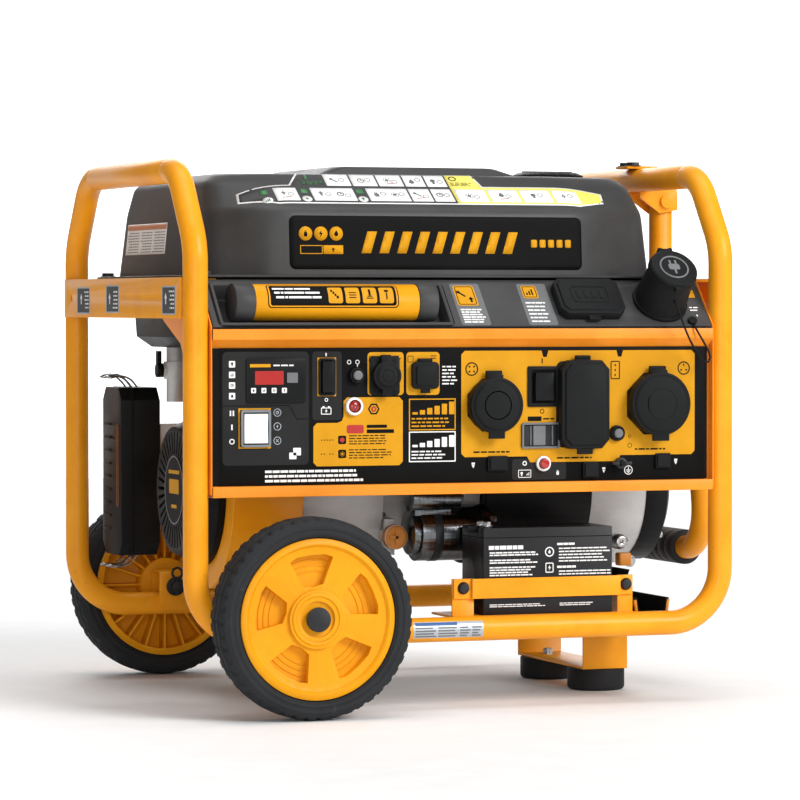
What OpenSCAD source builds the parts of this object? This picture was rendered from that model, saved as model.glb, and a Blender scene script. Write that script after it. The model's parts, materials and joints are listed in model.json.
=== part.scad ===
// Portable engine generator on a two-wheel tube frame with a folding pull handle.
// X runs along the frame, -Y is the control panel side, Z is up, the ground is Z = 0.

/* [Frame] */
// Distance between the left and right posts, centre to centre
frame_length = 605; // [600:1:610]
// Distance between the front and rear hoops, centre to centre
frame_width = 469; // [468:0.5:470]
// Outer diameter of the frame tube
tube_d = 26.7; // [26:0.1:27]
// Wall thickness of the frame tube
tube_wall = 1.8; // [1.5:0.1:2.5]
// Height of the bottom tubes above the ground
rail_z = 87; // [86:0.5:88]
// Bend radius of the lower corners
corner_r = 60; // [50:1:70]

/* [Wheels] */
// Outer radius of the tyre
tyre_r = 107; // [106:0.5:107]
// Width of the tyre
tyre_w = 50; // [48:1:52]
// Radius of the rim flange
rim_r = 85; // [83:1:86]
// Radius of the axle bolt
axle_r = 6.25; // [6:0.05:6.3]
// Distance between the wheels' mid-planes
wheel_track = 558; // [556:1:560]

/* [Tank] */
// Height of the tank's seam flange
flange_z = 466; // [466:0.5:467]
// Wall thickness of the tank shells
tank_wall = 3; // [2:0.5:4]
// Height of the tank's front upper edge
tank_edge_z = 538; // [532:1:542]
// Height of the tank's top
tank_top_z = 579; // [576:1:582]

/* [Panel] */
// Front plane of the label plate
label_y = -240; // [-241:0.5:-239]
// Thickness of folded sheet metal
sheet = 1.5; // [1.2:0.1:1.8]
// Slope of the console face
console_tilt = 46.5; // [46:0.5:47]

/* [Engine] */
// Height of the crankshaft axis
crank_z = 232; // [230:1:234]
// Radius of the alternator
alternator_r = 87; // [85:1:88]
// Radius of the crankshaft
shaft_r = 12.5; // [12:0.5:13]

/* [Battery] */
// Length of the battery
battery_l = 151; // [150:1:152]
// Depth of the battery
battery_d = 65; // [64:1:66]
// Height of the battery
battery_h = 94; // [93:1:95]

/* [Hidden] */
$fn = 48;

// colours
amber = [0.97, 0.62, 0.11];
orange = [0.95, 0.50, 0.12];
yellow = [0.99, 0.72, 0.07];
black = [0.10, 0.10, 0.10];
dark = [0.25, 0.25, 0.25];
grey = [0.38, 0.38, 0.38];
steel = [0.72, 0.72, 0.72];
cast = [0.62, 0.62, 0.60];

// frame places
tube_r = tube_d / 2;
post_left = -324;
post_right = post_left + frame_length;
hoop_y = frame_width / 2;
lean_z = 480;
lean_r = 60;
lean_a = atan(0.75);
lean_l = 51;
top_r = 58;
lean_y1 = -hoop_y + lean_r * (1 - cos(lean_a));
lean_z1 = lean_z + lean_r * sin(lean_a);
lean_y2 = lean_y1 + lean_l * sin(lean_a);
lean_z2 = lean_z1 + lean_l * cos(lean_a);
top_y = lean_y2 + top_r * cos(lean_a);
top_z = lean_z2 + top_r * (1 - sin(lean_a));
inner_y = hoop_y - tube_r;

// wheel places
axle_x = -210;
axle_z = 107;
wheel_y = wheel_track / 2;

// engine places
crank_y = -30;
block_x = [-170, -70];

// panel and console places
panel_x = [-309, 266];
lip_y = -249;
console_y = -249;
console_z = 411.4;
console_l = 72.5;
cup_x = 213;
cup_v = 38.9;
cup_h = 47;
canister_v = 38;
canister_r = 20.5;
canister_x = [-281, -53];
trough_x = [-296, -41];

// centres of the panel's fittings, X and Z
rocker_x = -260;
rocker_z = 306;
bat_rock = [-180, 360];
brk_rock = [67.5, 348];
dc_c = [-115, 361];
usb_c = [-70, 361];
twist_c = [8.5, 328.5];
duplex_c = [112, 328.5];
travel_c = [200.5, 328.5];
ac_button = [154, 296.5];
dc_button = [-147, 361.5];
remote_button = [67.5, 264.5];
ground_c = [156, 264];

// handle places
pivot_x = 312;
pivot_z = 556;
grip_z = 158;
grip_x = 320;
loop_half = 112;
loop_h = 142;
stem_z = 307;
loop_r = 55;

// cap tether: hand-picked route on the console's right side
tether_d = 2.2;
tether_route = [
  [213, -262.6, 440.6], [213.5, -265, 438], [214.5, -267, 434.5], [216.5, -268, 429], [219.5, -268.2, 421],
  [223, -267.5, 412.5], [227, -266, 405], [231.5, -264, 397.5], [236.5, -262, 390.5], [242, -260, 384],
  [247, -258.6, 378], [251.5, -257.6, 374], [256.5, -257, 374], [259, -256.6, 378.5],
  [257.5, -256.1, 385], [254, -255.6, 391.5], [250.5, -254.9, 398], [247, -254, 404], [244.3, -253, 409],
  [243, -251.2, 412.6], [243, -248, 415.5]
];

function unit(v) = v / norm(v);
function lerp(a, b, t) = a + (b - a) * t;

// hollow frame tube along +Z
module tube(l) {
  linear_extrude(l) ring();
}

module ring() {
  difference() {
    circle(tube_r);
    circle(tube_r - tube_wall);
  }
}

// hollow quarter of a bend from angle a0 over a degrees, in the XY plane
module bend(r, a, a0 = 0) {
  rotate([0, 0, a0]) rotate_extrude(angle = a) translate([r, 0]) ring();
}

// rounded plate with its lower corner at the origin
module round_plate(size, r) {
  linear_extrude(size[2]) translate([r, r]) offset_square([size[0] - 2 * r, size[1] - 2 * r], r);
}

module offset_square(s, r) {
  translate([-r, 0]) square([s[0] + 2 * r, s[1]]);
  translate([0, -r]) square([s[0], s[1] + 2 * r]);
  for (x = [0, s[0]], y = [0, s[1]]) translate([x, y]) circle(r, $fn = 24);
}

// box given by its lowest and highest corners
module span(lo, hi) {
  translate(lo) cube(hi - lo);
}

// cylinder along +X from x0 to x1
module xbar(x0, x1, y, z, r) {
  translate([x0, y, z]) rotate([0, 90, 0]) cylinder(h = x1 - x0, r = r);
}

// cylinder along +Y from y0 to y1
module ybar(x, y0, y1, z, r) {
  translate([x, y1, z]) rotate([90, 0, 0]) cylinder(h = y1 - y0, r = r);
}

// places children flat on the panel: local X right, local Y up, local Z out of the face
module on_panel(x, z, y = label_y) {
  translate([x, y, z]) rotate([90, 0, 0]) children();
}

// places children flat on the console: local Y up the slope, local Z out of the face
module on_console(x, v) {
  translate([0, console_y, console_z]) rotate([console_tilt, 0, 0]) translate([x, v, 0]) children();
}

module both_sides() {
  children();
  mirror([0, 1, 0]) children();
}

// ---- frame ----
module hoop() {
  l = frame_length - 2 * corner_r;
  translate([post_left + corner_r, -hoop_y, rail_z]) rotate([0, 90, 0]) tube(l);
  translate([post_left + corner_r, -hoop_y, rail_z + corner_r]) rotate([-90, 0, 180]) bend(corner_r, 90);
  translate([post_right - corner_r, -hoop_y, rail_z + corner_r]) rotate([-90, 0, 0]) bend(corner_r, 90);
  for (x = [post_left, post_right]) {
    translate([x, -hoop_y, rail_z + corner_r]) tube(lean_z - rail_z - corner_r);
    translate([x, -hoop_y + lean_r, lean_z]) rotate([90, 0, -90]) bend(lean_r, lean_a);
    translate([x, lean_y1, lean_z1]) rotate([-lean_a, 0, 0]) tube(lean_l);
    translate([x, top_y, top_z - top_r]) rotate([90, 0, -90]) bend(top_r, 90 - lean_a, lean_a);
  }
}

module frame_front() {
  color(amber) hoop();
}

module frame_rear() {
  color(amber) mirror([0, 1, 0]) hoop();
}

module top_tubes() {
  color(amber)
    for (x = [post_left, post_right])
      translate([x, top_y, top_z]) rotate([-90, 0, 0]) tube(-2 * top_y);
}

plate_t = 2.65;
module end_plates() {
  color(amber) {
    for (x = [post_left - tube_r - plate_t, post_right + tube_r])
      difference() {
        span([x, -hoop_y + 4, 422], [x + plate_t, hoop_y - 4, 465.6]);
        for (y = [-200, 200]) xbar(x - 1, x + plate_t + 1, y, 444, 4.2);
      }
    difference() {
      union() {
        span([post_left - tube_r, -194.5, 462], [-289, 205, 464.6]);
        span([244, -194.5, 462], [post_right + tube_r, 205, 464.6]);
      }
      tank_bolt_places() translate([0, 0, 455]) cylinder(h = 20, r = 4);
    }
  }
}

channel_t = 3;
// open-topped channel with sloping sides, running along Y
module channel(x, w, top, bottom, slope, y0, y1) {
  translate([x, y1, 0]) rotate([90, 0, 0]) linear_extrude(y1 - y0)
    polygon([
      [-w / 2, top], [-w / 2 + slope, bottom], [w / 2 - slope, bottom], [w / 2, top],
      [w / 2 - channel_t * 1.3, top], [w / 2 - slope - channel_t * 0.8, bottom + channel_t],
      [-w / 2 + slope + channel_t * 0.8, bottom + channel_t], [-w / 2 + channel_t * 1.3, top]
    ]);
}

alt_member_x = 205;
eng_member_x = -120;
module cross_members() {
  color(black) {
    channel(alt_member_x, 42, 114, 76, 7, -inner_y, inner_y);
    channel(eng_member_x, 84, 114, 76, 8, -inner_y, inner_y);
    channel(alt_member_x - 5, 38, 139, 121, 6, -128, 70);
  }
}

module foot_bracket() {
  span([174, -100, 25], [228, 100, 28]);
  for (y = [-100, 97]) span([174, y, 28], [228, y + 3, 76]);
}

foot_x = 201;
foot_y = 72;
module rubber_feet() {
  color(black)
    for (s = [-1, 1])
      translate([foot_x, s * foot_y, 0]) {
        cylinder(h = 3, r1 = 29.5, r2 = 32.5);
        translate([0, 0, 3]) cylinder(h = 22, r = 32.5);
      }
}

bracket_hw = 19;
module axle_brackets() {
  both_sides()
    difference() {
      union() {
        span([axle_x - bracket_hw, -hoop_y - tube_r - 3, 80], [axle_x + bracket_hw, -hoop_y - tube_r, 125]);
        span([axle_x - bracket_hw, -inner_y, 80], [axle_x + bracket_hw, -inner_y + 3, 125]);
        span([axle_x - bracket_hw, -hoop_y - tube_r, 122], [axle_x + bracket_hw, -inner_y, 125]);
      }
      ybar(axle_x, -260, -210, axle_z, axle_r + 0.3);
    }
}

module frame_brackets() {
  color(amber) {
    foot_bracket();
    axle_brackets();
  }
}

module axle_bolts() {
  color(dark) both_sides() {
    head = wheel_y + tyre_w / 2 - 4;
    difference() {
      union() {
        ybar(axle_x, -head, -206, axle_z, axle_r);
        ybar(axle_x, -head - 3.5, -head, axle_z, 13);
        ybar(axle_x, -hoop_y - tube_r - 5, -hoop_y - tube_r - 3, axle_z, 15);
        ybar(axle_x, -inner_y + 3, -inner_y + 5, axle_z, 11);
      }
      translate([axle_x, -211, axle_z - 10]) cylinder(h = 20, r = 1.6);
    }
    translate([axle_x, -211, axle_z - 9]) cylinder(h = 20, r = 1.55);
    translate([axle_x, -211, axle_z + 16]) rotate([90, 0, 0]) rotate_extrude() translate([6, 0]) circle(1.5);
  }
}

module mount_stack(x, y, z0, z1, r) {
  translate([x, y, z0]) cylinder(h = z1 - z0, r = r - 2);
  translate([x, y, z0 + 1]) cylinder(h = z1 - z0 - 2, r = r);
}

module vibration_mounts() {
  color(black) {
    for (y = [-90, 50]) {
      mount_stack(alt_member_x - 5, y, 124, 145, 9.5);
      mount_stack(eng_member_x, y, 79, 128, 17);
    }
    for (y = [-110, 55]) mount_stack(alt_member_x, y, 79, 121, 9.5);
  }
}

// ---- battery ----
bat_x = 5;
bat_y = -224.5;
bat_z = 100.2;
module battery() {
  color(black) {
    difference() {
      span([bat_x, bat_y, bat_z], [bat_x + battery_l, bat_y + battery_d, bat_z + battery_h]);
      span([bat_x - 1, bat_y + 16, bat_z + battery_h - 6], [bat_x + 26, bat_y + battery_d - 16, bat_z + battery_h + 1]);
    }
    for (y = [22, 43])
      translate([bat_x + 13, bat_y + y, bat_z + battery_h - 6]) cylinder(h = 7, r = 3.4);
  }
}

tray_t = 2.5;
module battery_tray() {
  color(amber) difference() {
    union() {
      span([-30, -226, 97.4], [182, -157, 97.4 + tray_t]);
      for (x = [-30, 164]) span([x, -221, 99.9], [x + (x < 0 ? 25 : 18), -218.5, 140]);
      for (x = [-7.5, 164]) span([x, -218.5, 99.9], [x + tray_t, -165, 125]);
    }
    for (x = [-18, 173]) ybar(x, -222, -217, 130, 3.3);
  }
}

module battery_strap() {
  color(amber) difference() {
    union() {
      span([-9, -227.5, 118.5], [165, -225, 140]);
      span([-29, -223.5, 118.5], [-6.5, -221, 140]);
      span([162.5, -223.5, 118.5], [181, -221, 140]);
      span([-9, -225, 118.5], [-6.5, -223.5, 140]);
      span([162.5, -225, 118.5], [165, -223.5, 140]);
    }
    for (x = [-18, 173]) ybar(x, -224, -220, 130, 3.3);
  }
}

// ---- fasteners ----
module tank_bolt_places() {
  for (x = [-297, 252], y = [-184, 197]) translate([x, y, 0]) children();
}

module hex_bolt(l, r) {
  cylinder(h = 4.5, r = r * 2, $fn = 6);
  cylinder(h = 1, r = r * 2.4);
  translate([0, 0, -l]) cylinder(h = l, r = r);
}

module hex_bolts() {
  color(dark) {
    tank_bolt_places() translate([0, 0, flange_z + flange_t]) hex_bolt(8, 3.6);
    for (x = [-18, 173])
      translate([x, -223.5, 130]) rotate([90, 0, 0]) {
        cylinder(h = 4, r1 = 7, r2 = 5);
        translate([0, 0, -5]) cylinder(h = 5, r = 3.2);
      }
    translate([post_right - 8, -10, top_z + tube_r + 3]) hex_bolt(2, 4);
    translate([post_right - 8, 10, top_z + tube_r + 3]) hex_bolt(2, 4);
  }
}

// ---- tank ----
tank_x = [-290, 236];
tank_y = 204;
tank_front = 199;
flange_t = 2.5;
neck_x = 186;
neck_y = 40;
// thin slab with rounded corners and chamfered front corners, for hulls
module tank_slab(z, inset, chamfer_y, front) {
  translate([0, 0, z]) linear_extrude(0.1)
    polygon([
      [tank_x[0] + inset, -150 + chamfer_y], [-225 + inset / 2, -front], [137 - inset / 2, -front],
      [tank_x[1] - inset, -150 + chamfer_y], [tank_x[1] - inset, tank_y - 22 - inset],
      [tank_x[1] - inset - 22, tank_y - inset], [tank_x[0] + inset + 22, tank_y - inset],
      [tank_x[0] + inset + 6, tank_y - 6 - inset], [tank_x[0] + inset, tank_y - 22 - inset]
    ]);
}

// tank dome, offset inwards by w
module tank_dome(w) {
  hull() {
    tank_slab(flange_z + flange_t - 0.1, w, 0, tank_front - w);
    tank_slab(tank_edge_z - w, 7 + w, 4, tank_front - 4 - w);
    tank_slab(tank_top_z - 10 - w, 14 + w, 30, 148 - w);
    tank_slab(tank_top_z - 0.1 - w, 26 + w, 44, 134 - w);
  }
}

module tank_pad() {
  hull() {
    span([-150, -128, tank_top_z - 4], [90, 120, tank_top_z - 3]);
    span([-128, -118, tank_top_z + 8], [62, 100, tank_top_z + 9]);
  }
}

module tank_upper() {
  color(dark) {
    difference() {
      union() {
        tank_dome(0);
        tank_pad();
        translate([0, 0, flange_z]) linear_extrude(flange_t)
          difference() {
            translate([-300, -194]) offset_square([558, 397], 8);
            polygon([[-283, -140], [-218, -192], [130, -192], [228, -140], [228, 180], [208, 196], [-262, 196],
              [-283, 176]]);
          }
        translate([neck_x, neck_y, tank_top_z - 8]) cylinder(h = 11, r = 33);
      }
      difference() {
        tank_dome(tank_wall);
        translate([neck_x, neck_y, tank_top_z - 20]) cylinder(h = 30, r = 27);
      }
      translate([neck_x, neck_y, tank_top_z - 30]) cylinder(h = 50, r = 24);
      tank_bolt_places() translate([0, 0, flange_z - 1]) cylinder(h = 5, r = 4);
    }
  }
}

module lower_slab(z, x0, x1, y0, y1) {
  translate([x0, y0, z]) cube([x1 - x0, y1 - y0, 0.1]);
}

module tank_pan(w) {
  hull() {
    lower_slab(flange_z - 0.1, -270 + w, 222 - w, -172 + w, 190 - w);
    lower_slab(400 + w, -266 + w, 218 - w, -170 + w, 186 - w);
    lower_slab(388 + w, -252 + w, 204 - w, -160 + w, 172 - w);
  }
}

valve_x = -244;
valve_y = 105;
module tank_lower() {
  color(dark) difference() {
    tank_pan(0);
    tank_pan(tank_wall);
    translate([-270 + tank_wall, -172 + tank_wall, flange_z - 1]) cube([486, 356, 2]);
    translate([valve_x, valve_y, 380]) cylinder(h = 20, r = 6);
  }
}

cap_r = 42;
module fuel_cap() {
  color(black) translate([neck_x, neck_y, tank_top_z + 3.4]) difference() {
    union() {
      cylinder(h = 3, r1 = cap_r - 1, r2 = cap_r);
      translate([0, 0, 3]) cylinder(h = 3.5, r1 = cap_r, r2 = cap_r - 7);
      translate([-30, -4, 6]) cube([60, 8, 2.4]);
    }
    for (i = [0 : 11]) rotate([0, 0, 30 * i]) translate([cap_r + 1, 0, -1]) cylinder(h = 8, r = 3);
  }
  color(black) translate([neck_x, neck_y, tank_top_z - 10]) cylinder(h = 14, r = 23.6);
}

module fuel_valve() {
  color(cast) {
    translate([valve_x, valve_y, 352]) {
      translate([0, 0, 28]) cylinder(h = 22, r = 5.9);
      translate([0, 0, 20]) cylinder(h = 16, r = 10);
      translate([0, 0, 0]) cylinder(h = 20, r = 13);
      translate([0, 0, -26]) cylinder(h = 26, r = 10);
    }
    xbar(valve_x - 15, valve_x, valve_y, 362, 8);
  }
}

module fuel_lever() {
  color(black) {
    xbar(valve_x - 22, valve_x - 15.4, valve_y, 362, 8);
    translate([valve_x - 22, valve_y - 3.5, 362]) cube([5, 7, 22]);
  }
}

// ---- console and panel ----
module console_plate() {
  difference() {
    union() {
      span([-308, 3, -3], [265, console_l - 0.5, 0]);
      for (x = [-308, 262]) span([x, 3, -14], [x + 3, 60, -3]);
    }
    span([trough_x[0] - 2.3, 5.7, -4], [trough_x[1] + 2.3, 64.3, 1]);
    translate([cup_x, cup_v, -5]) cylinder(h = 8, r = 22);
    span([94, 22, -5], [158, 60, 2]);
  }
}

// tray the canister lies in, dropped into the plate from above
module console_trough() {
  difference() {
    union() {
      span([trough_x[0] - 2, 6, -23.5], [trough_x[1] + 2, 64, 1]);
      span([trough_x[0] - 3.5, 4.2, 0.2], [trough_x[1] + 3.5, 65.8, 1.4]);
    }
    span([trough_x[0], 8, -21], [trough_x[1], 62, 2]);
  }
}

module console() {
  color(dark) on_console(0, 0) {
    console_plate();
    console_trough();
  }
}

module panel_section() {
  translate([lip_y, 233.5]) square([34, sheet]);
  translate([lip_y, 233.5]) square([sheet, 11.5]);
  translate([lip_y, 245 - sheet]) square([11 + sheet, sheet]);
  translate([label_y + 2, 245 - sheet]) square([sheet, 148.3]);
  polygon([[label_y + 2, 391.4], [lip_y, 400], [lip_y + sheet, 401.2], [label_y + 2 + sheet, 393.2],
    [label_y + 2 + sheet, 391.4]]);
  translate([lip_y, 400]) square([sheet, 11]);
}

module panel_frame() {
  color(orange) {
    difference() {
      translate([panel_x[0], 0, 0]) rotate([90, 0, 90]) linear_extrude(panel_x[1] - panel_x[0]) panel_section();
      socket_windows();
    }
    for (x = [panel_x[0] - sheet - 0.15, panel_x[1] + 0.15])
      translate([x, 0, 0]) rotate([90, 0, 90]) linear_extrude(sheet)
        polygon([[-247.2, 236], [-215, 236], [-190, 330], [-135, 395], [-70, 420], [-70, 461.5],
          [-203, 461.5], [-246.5, 414]]);
  }
}

// openings behind the fittings: rectangles as centre, half width, half height, and circles as centre, r
module socket_windows() {
  for (w = [[duplex_c, 19, 38.2], [usb_c, 13.7, 11.7], [[rocker_x, rocker_z], 14.85, 17.95], [bat_rock, 7, 17.3],
      [brk_rock, 11.2, 15.8]])
    span([w[0][0] - w[1], label_y - 1, w[0][1] - w[2]], [w[0][0] + w[1], label_y + 5, w[0][1] + w[2]]);
  for (w = [[twist_c, 28.2], [travel_c, 30.2], [dc_c, 11.7]])
    ybar(w[0][0], label_y - 1, label_y + 5, w[0][1], w[1]);
}

module panel_plate() {
  color(black) difference() {
    span([-300, label_y, 245.3], [259, label_y + 2, 391]);
    socket_windows();
  }
}

// socket face with slots, centred on its place
module socket_face(r, depth) {
  difference() {
    cylinder(h = depth, r = r);
    for (a = [0, 120, 240]) rotate([0, 0, a]) translate([r * 0.5, 0, depth - 8]) cube([3, 9, 20], center = true);
  }
}

module bezel(w, h, t, wall) {
  difference() {
    translate([-w / 2, -h / 2, 0]) round_plate([w, h, t], 3);
    translate([-w / 2 + wall, -h / 2 + wall, -1]) cube([w - 2 * wall, h - 2 * wall, t + 2]);
  }
}

module panel_fittings() {
  color(black) {
    on_panel(rocker_x, rocker_z) bezel(33.5, 39.5, 4, 2.5);
    on_panel(rocker_x, rocker_z) translate([-14.75, -17.75, -30]) difference() {
      cube([29.5, 35.5, 30]);
      translate([1, 1, 20]) cube([27.5, 33.5, 11]);
    }
    on_panel(bat_rock[0], bat_rock[1]) span([-9, -19, -20], [9, 19, -4]);
    on_panel(brk_rock[0], brk_rock[1]) span([-13, -18, -20], [13, 18, -4]);
    on_panel(bat_rock[0], bat_rock[1]) bezel(19, 40, 2.5, 2.5);
    on_panel(brk_rock[0], brk_rock[1]) bezel(36, 44, 2.5, 4);
    on_panel(-237, 356.5) translate([-33, -24, 0]) round_plate([66, 48, 1.5], 3);
    on_panel(64.5, 295) bezel(44, 28, 3, 3);
    on_panel(dc_c[0], dc_c[1]) translate([-17, -21, 0]) difference() {
      round_plate([34, 42, 2], 4);
      translate([17, 21, -1]) cylinder(h = 4, r = 11.5);
    }
    on_panel(dc_c[0], dc_c[1]) translate([0, 0, -22]) difference() {
      cylinder(h = 24, r = 11.5);
      translate([0, 0, 3]) cylinder(h = 24, r = 9);
    }
    on_panel(usb_c[0], usb_c[1]) translate([-13.5, -11.5, -14]) difference() {
      cube([27, 23, 15]);
      for (y = [4, 13]) translate([5, y, 3]) cube([17, 5.5, 14]);
    }
    on_panel(twist_c[0], twist_c[1]) {
      rotate([0, 0, 22.5]) cylinder(h = 3, r = 30.85, $fn = 8);
      translate([0, 0, -35]) socket_face(28, 37);
    }
    on_panel(duplex_c[0], duplex_c[1]) {
      translate([-29, -47, 0]) difference() {
        round_plate([58, 94, 3], 8);
        translate([10.5, 9, -1]) cube([37, 76, 5]);
      }
      translate([-18.5, -38, -30]) difference() {
        cube([37, 76, 33]);
        for (y = [14, 50], x = [9, 23]) translate([x, y, 12]) cube([4.2, 9, 24]);
      }
    }
    on_panel(travel_c[0], travel_c[1]) {
      rotate([0, 0, 22.5]) cylinder(h = 3, r = 36.6, $fn = 8);
      translate([0, 0, -35]) difference() {
        cylinder(h = 38, r = 30);
        for (x = [-12, 12]) translate([x - 2.1, -6, 12]) cube([4.2, 12, 30]);
        translate([-2.1, 9, 12]) cube([4.2, 10, 30]);
      }
    }
    on_panel(-150, 328.5) difference() {
      cylinder(h = 5, r = 9);
      translate([0, 0, 1]) cylinder(h = 5, r = 6.8);
    }
    for (b = [ac_button, dc_button, remote_button])
      on_panel(b[0], b[1]) difference() {
        cylinder(h = 4, r = 8);
        translate([0, 0, -1]) cylinder(h = 6, r = 5.6);
      }
    on_panel(ground_c[0], ground_c[1]) cylinder(h = 16, r = 3);
  }
  color([0.8, 0.1, 0.1]) on_panel(-150, 328.5) translate([0, 0, 1]) cylinder(h = 3, r = 6.8);
}

// rocking key with the lower half of its pivot barrel, pivot at the origin
module rocker(w, h, t) {
  hw = w / 2;
  translate([1 - hw, 0, 0]) rotate([0, 90, 0]) difference() {
    cylinder(h = w - 2, r = 3.6);
    translate([-5, -5, -1]) cube([5, 10, w]);
  }
  translate([-hw, 0, 0]) rotate([90, 0, 90]) linear_extrude(w)
    polygon([[-h / 2, -3], [h / 2, -3], [h / 2, t + 1.2], [0, t], [-h / 2, t + 1.2]]);
}

module start_rocker() {
  color("white") on_panel(rocker_x, rocker_z) rocker(26, 31, 4);
}

module battery_rocker() {
  color(black) on_panel(bat_rock[0], bat_rock[1]) translate([0, 0, 3.5]) rocker(12.5, 33, 2);
}

module breaker_rocker() {
  color(black) on_panel(brk_rock[0], brk_rock[1]) translate([0, 0, 3.5]) rocker(21, 30, 2.4);
}

cover_gap = 0.5;
hinge_r = 2.2;
// round flip cover: hinge barrel at the top, pull tab at the bottom
module round_cover(r, t, top, tab_w) {
  difference() {
    union() {
      cylinder(h = t, r = r);
      translate([0, 0, t]) cylinder(h = 2.5, r1 = r - 2, r2 = r - 5);
      translate([-tab_w / 2, -r - 6, t - 4]) cube([tab_w, 10, 3.5]);
      translate([-tab_w / 2, 0, 0]) cube([tab_w, top - hinge_r, t * 0.6]);
      translate([-tab_w / 2, top, hinge_r]) rotate([0, 90, 0]) cylinder(h = tab_w, r = hinge_r);
      translate([-tab_w / 2, top - hinge_r - 1, 0]) cube([tab_w, hinge_r + 1, 2 * hinge_r]);
    }
    translate([0, 0, -1]) cylinder(h = 4, r = r - 4);
  }
}

module dc_cover() {
  color(black) on_panel(dc_c[0], dc_c[1]) translate([0, 0, 2 + cover_gap]) round_cover(15.5, 9, 20, 11);
}

module usb_cover() {
  color(black) on_panel(usb_c[0], usb_c[1]) translate([0, 0, 1 + cover_gap]) {
    translate([-15, -14.5, 0]) round_plate([30, 29, 6], 5);
    translate([-11, -11, 6]) round_plate([22, 22, 2], 4);
    translate([-5, -19, 2]) cube([10, 6, 3]);
    translate([-8, 16, hinge_r]) rotate([0, 90, 0]) cylinder(h = 16, r = hinge_r);
    translate([-8, 13.5, 0]) cube([16, 2.5, 4]);
  }
}

module twistlock_cover() {
  color(black) on_panel(twist_c[0], twist_c[1]) translate([0, 0, 3 + cover_gap]) round_cover(30, 13, 35, 18);
}

module duplex_cover() {
  color(black) on_panel(duplex_c[0], duplex_c[1]) translate([0, 0, 3 + cover_gap]) {
    linear_extrude(12) polygon([[-28, -38], [-19, -48], [19, -48], [28, -38], [28, 38], [19, 48], [-19, 48], [-28, 38]]);
    translate([0, 0, 12]) linear_extrude(2.5)
      polygon([[-24, -36], [-17, -44], [17, -44], [24, -36], [24, 36], [17, 44], [-17, 44], [-24, 36]]);
    translate([-9, 51, hinge_r]) rotate([0, 90, 0]) cylinder(h = 18, r = hinge_r);
    translate([-9, 46, 0]) cube([18, 5, 4]);
    translate([-9, -54, 7]) cube([18, 8, 3.5]);
  }
}

module travel_cover() {
  color(black) on_panel(travel_c[0], travel_c[1]) translate([0, 0, 3 + cover_gap]) round_cover(34.5, 14, 39, 19);
}

// push button head that slides in its bezel, place b on the panel
module push_button(b) {
  on_panel(b[0], b[1]) {
    translate([0, 0, 2]) cylinder(h = 6, r = 5.2);
    translate([0, 0, 8]) cylinder(h = 1, r1 = 5.2, r2 = 4.4);
  }
}

module push_buttons_dc() {
  color(steel) push_button(dc_button);
}

module push_button_ac() {
  color(steel) push_button(ac_button);
}

module push_button_remote() {
  color("red") push_button(remote_button);
}

module ground_nut() {
  color(steel) on_panel(ground_c[0], ground_c[1]) translate([0, 0, 4]) difference() {
    union() {
      cylinder(h = 7, r = 6);
      translate([-11, -1.5, 2]) cube([22, 3, 8]);
    }
    translate([0, 0, -1]) cylinder(h = 12, r = 3.05);
  }
}

// ---- console pieces ----
lid_gap = 0.4;
module inlet_cup() {
  color(black) on_console(cup_x, cup_v) {
    difference() {
      union() {
        cylinder(h = 4, r = 31);
        cylinder(h = cup_h, r1 = 29, r2 = 26);
      }
      translate([0, 0, 10]) cylinder(h = cup_h, r = 22);
    }
    for (a = [0, 120, 240]) rotate([0, 0, a]) translate([9, -3, 8]) cube([2, 6, 22]);
    for (x = [-8, 4]) {
      translate([x, 25, cup_h - 12]) cube([4, 8, 11.8]);
      translate([x, 28, cup_h - 1]) cube([4, 5, 5.5]);
    }
  }
  color(black) on_console(243, 8.6) cylinder(h = 4, r = 5);
}

module inlet_lid() {
  color(black) on_console(cup_x, cup_v) {
    translate([0, 0, cup_h + lid_gap]) cylinder(h = 6, r = 27);
    translate([0, 0, cup_h + lid_gap + 6]) cylinder(h = 2, r1 = 27, r2 = 25);
    translate([-3.6, 24, cup_h + lid_gap]) cube([7.2, 6, 5]);
    translate([-3.6, 30.5, cup_h + lid_gap + 2.2]) rotate([0, 90, 0]) cylinder(h = 7.2, r = 2.2);
    translate([-6, -31, cup_h + lid_gap]) cube([12, 6, 5]);
  }
}

// round bar swept along a route of points
module swept(points, d, sides) {
  n = len(points);
  dirs = [for (i = [0 : n - 1]) unit(points[min(i + 1, n - 1)] - points[max(i - 1, 0)])];
  rings = [for (i = [0 : n - 1])
    let (u = unit(cross(dirs[i], [0, 1, 0.1])), v = cross(dirs[i], u))
      for (k = [0 : sides - 1]) points[i] + (u * cos(360 * k / sides) + v * sin(360 * k / sides)) * d / 2];
  walls = [for (i = [0 : n - 2], k = [0 : sides - 1])
    let (a = i * sides + k, b = i * sides + (k + 1) % sides) [a, b, b + sides, a + sides]];
  ends = [[for (k = [sides - 1 : -1 : 0]) k], [for (k = [0 : sides - 1]) (n - 1) * sides + k]];
  polyhedron(rings, concat(walls, ends));
}

module cap_tether() {
  color(black) swept(tether_route, tether_d, 8);
}

module switch_cover() {
  color(black) on_console(126, 38) translate([0, 0, 0.5]) {
    linear_extrude(11) polygon([[-38, -18], [-31, -26], [31, -26], [38, -18], [38, 19], [31, 26], [-31, 26], [-38, 19]]);
    translate([0, 0, 11]) linear_extrude(2)
      polygon([[-34, -16], [-29, -22], [29, -22], [34, -16], [34, 17], [29, 22], [-29, 22], [-34, 17]]);
    translate([-7, -31, 2]) cube([14, 6, 5]);
    for (x = [-24, 12]) translate([x, 27, 2.4]) rotate([0, 90, 0]) cylinder(h = 12, r = 2.2);
    for (x = [-24, 12]) translate([x, 24.5, 0.2]) cube([12, 2.5, 4.4]);
  }
}

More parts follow.
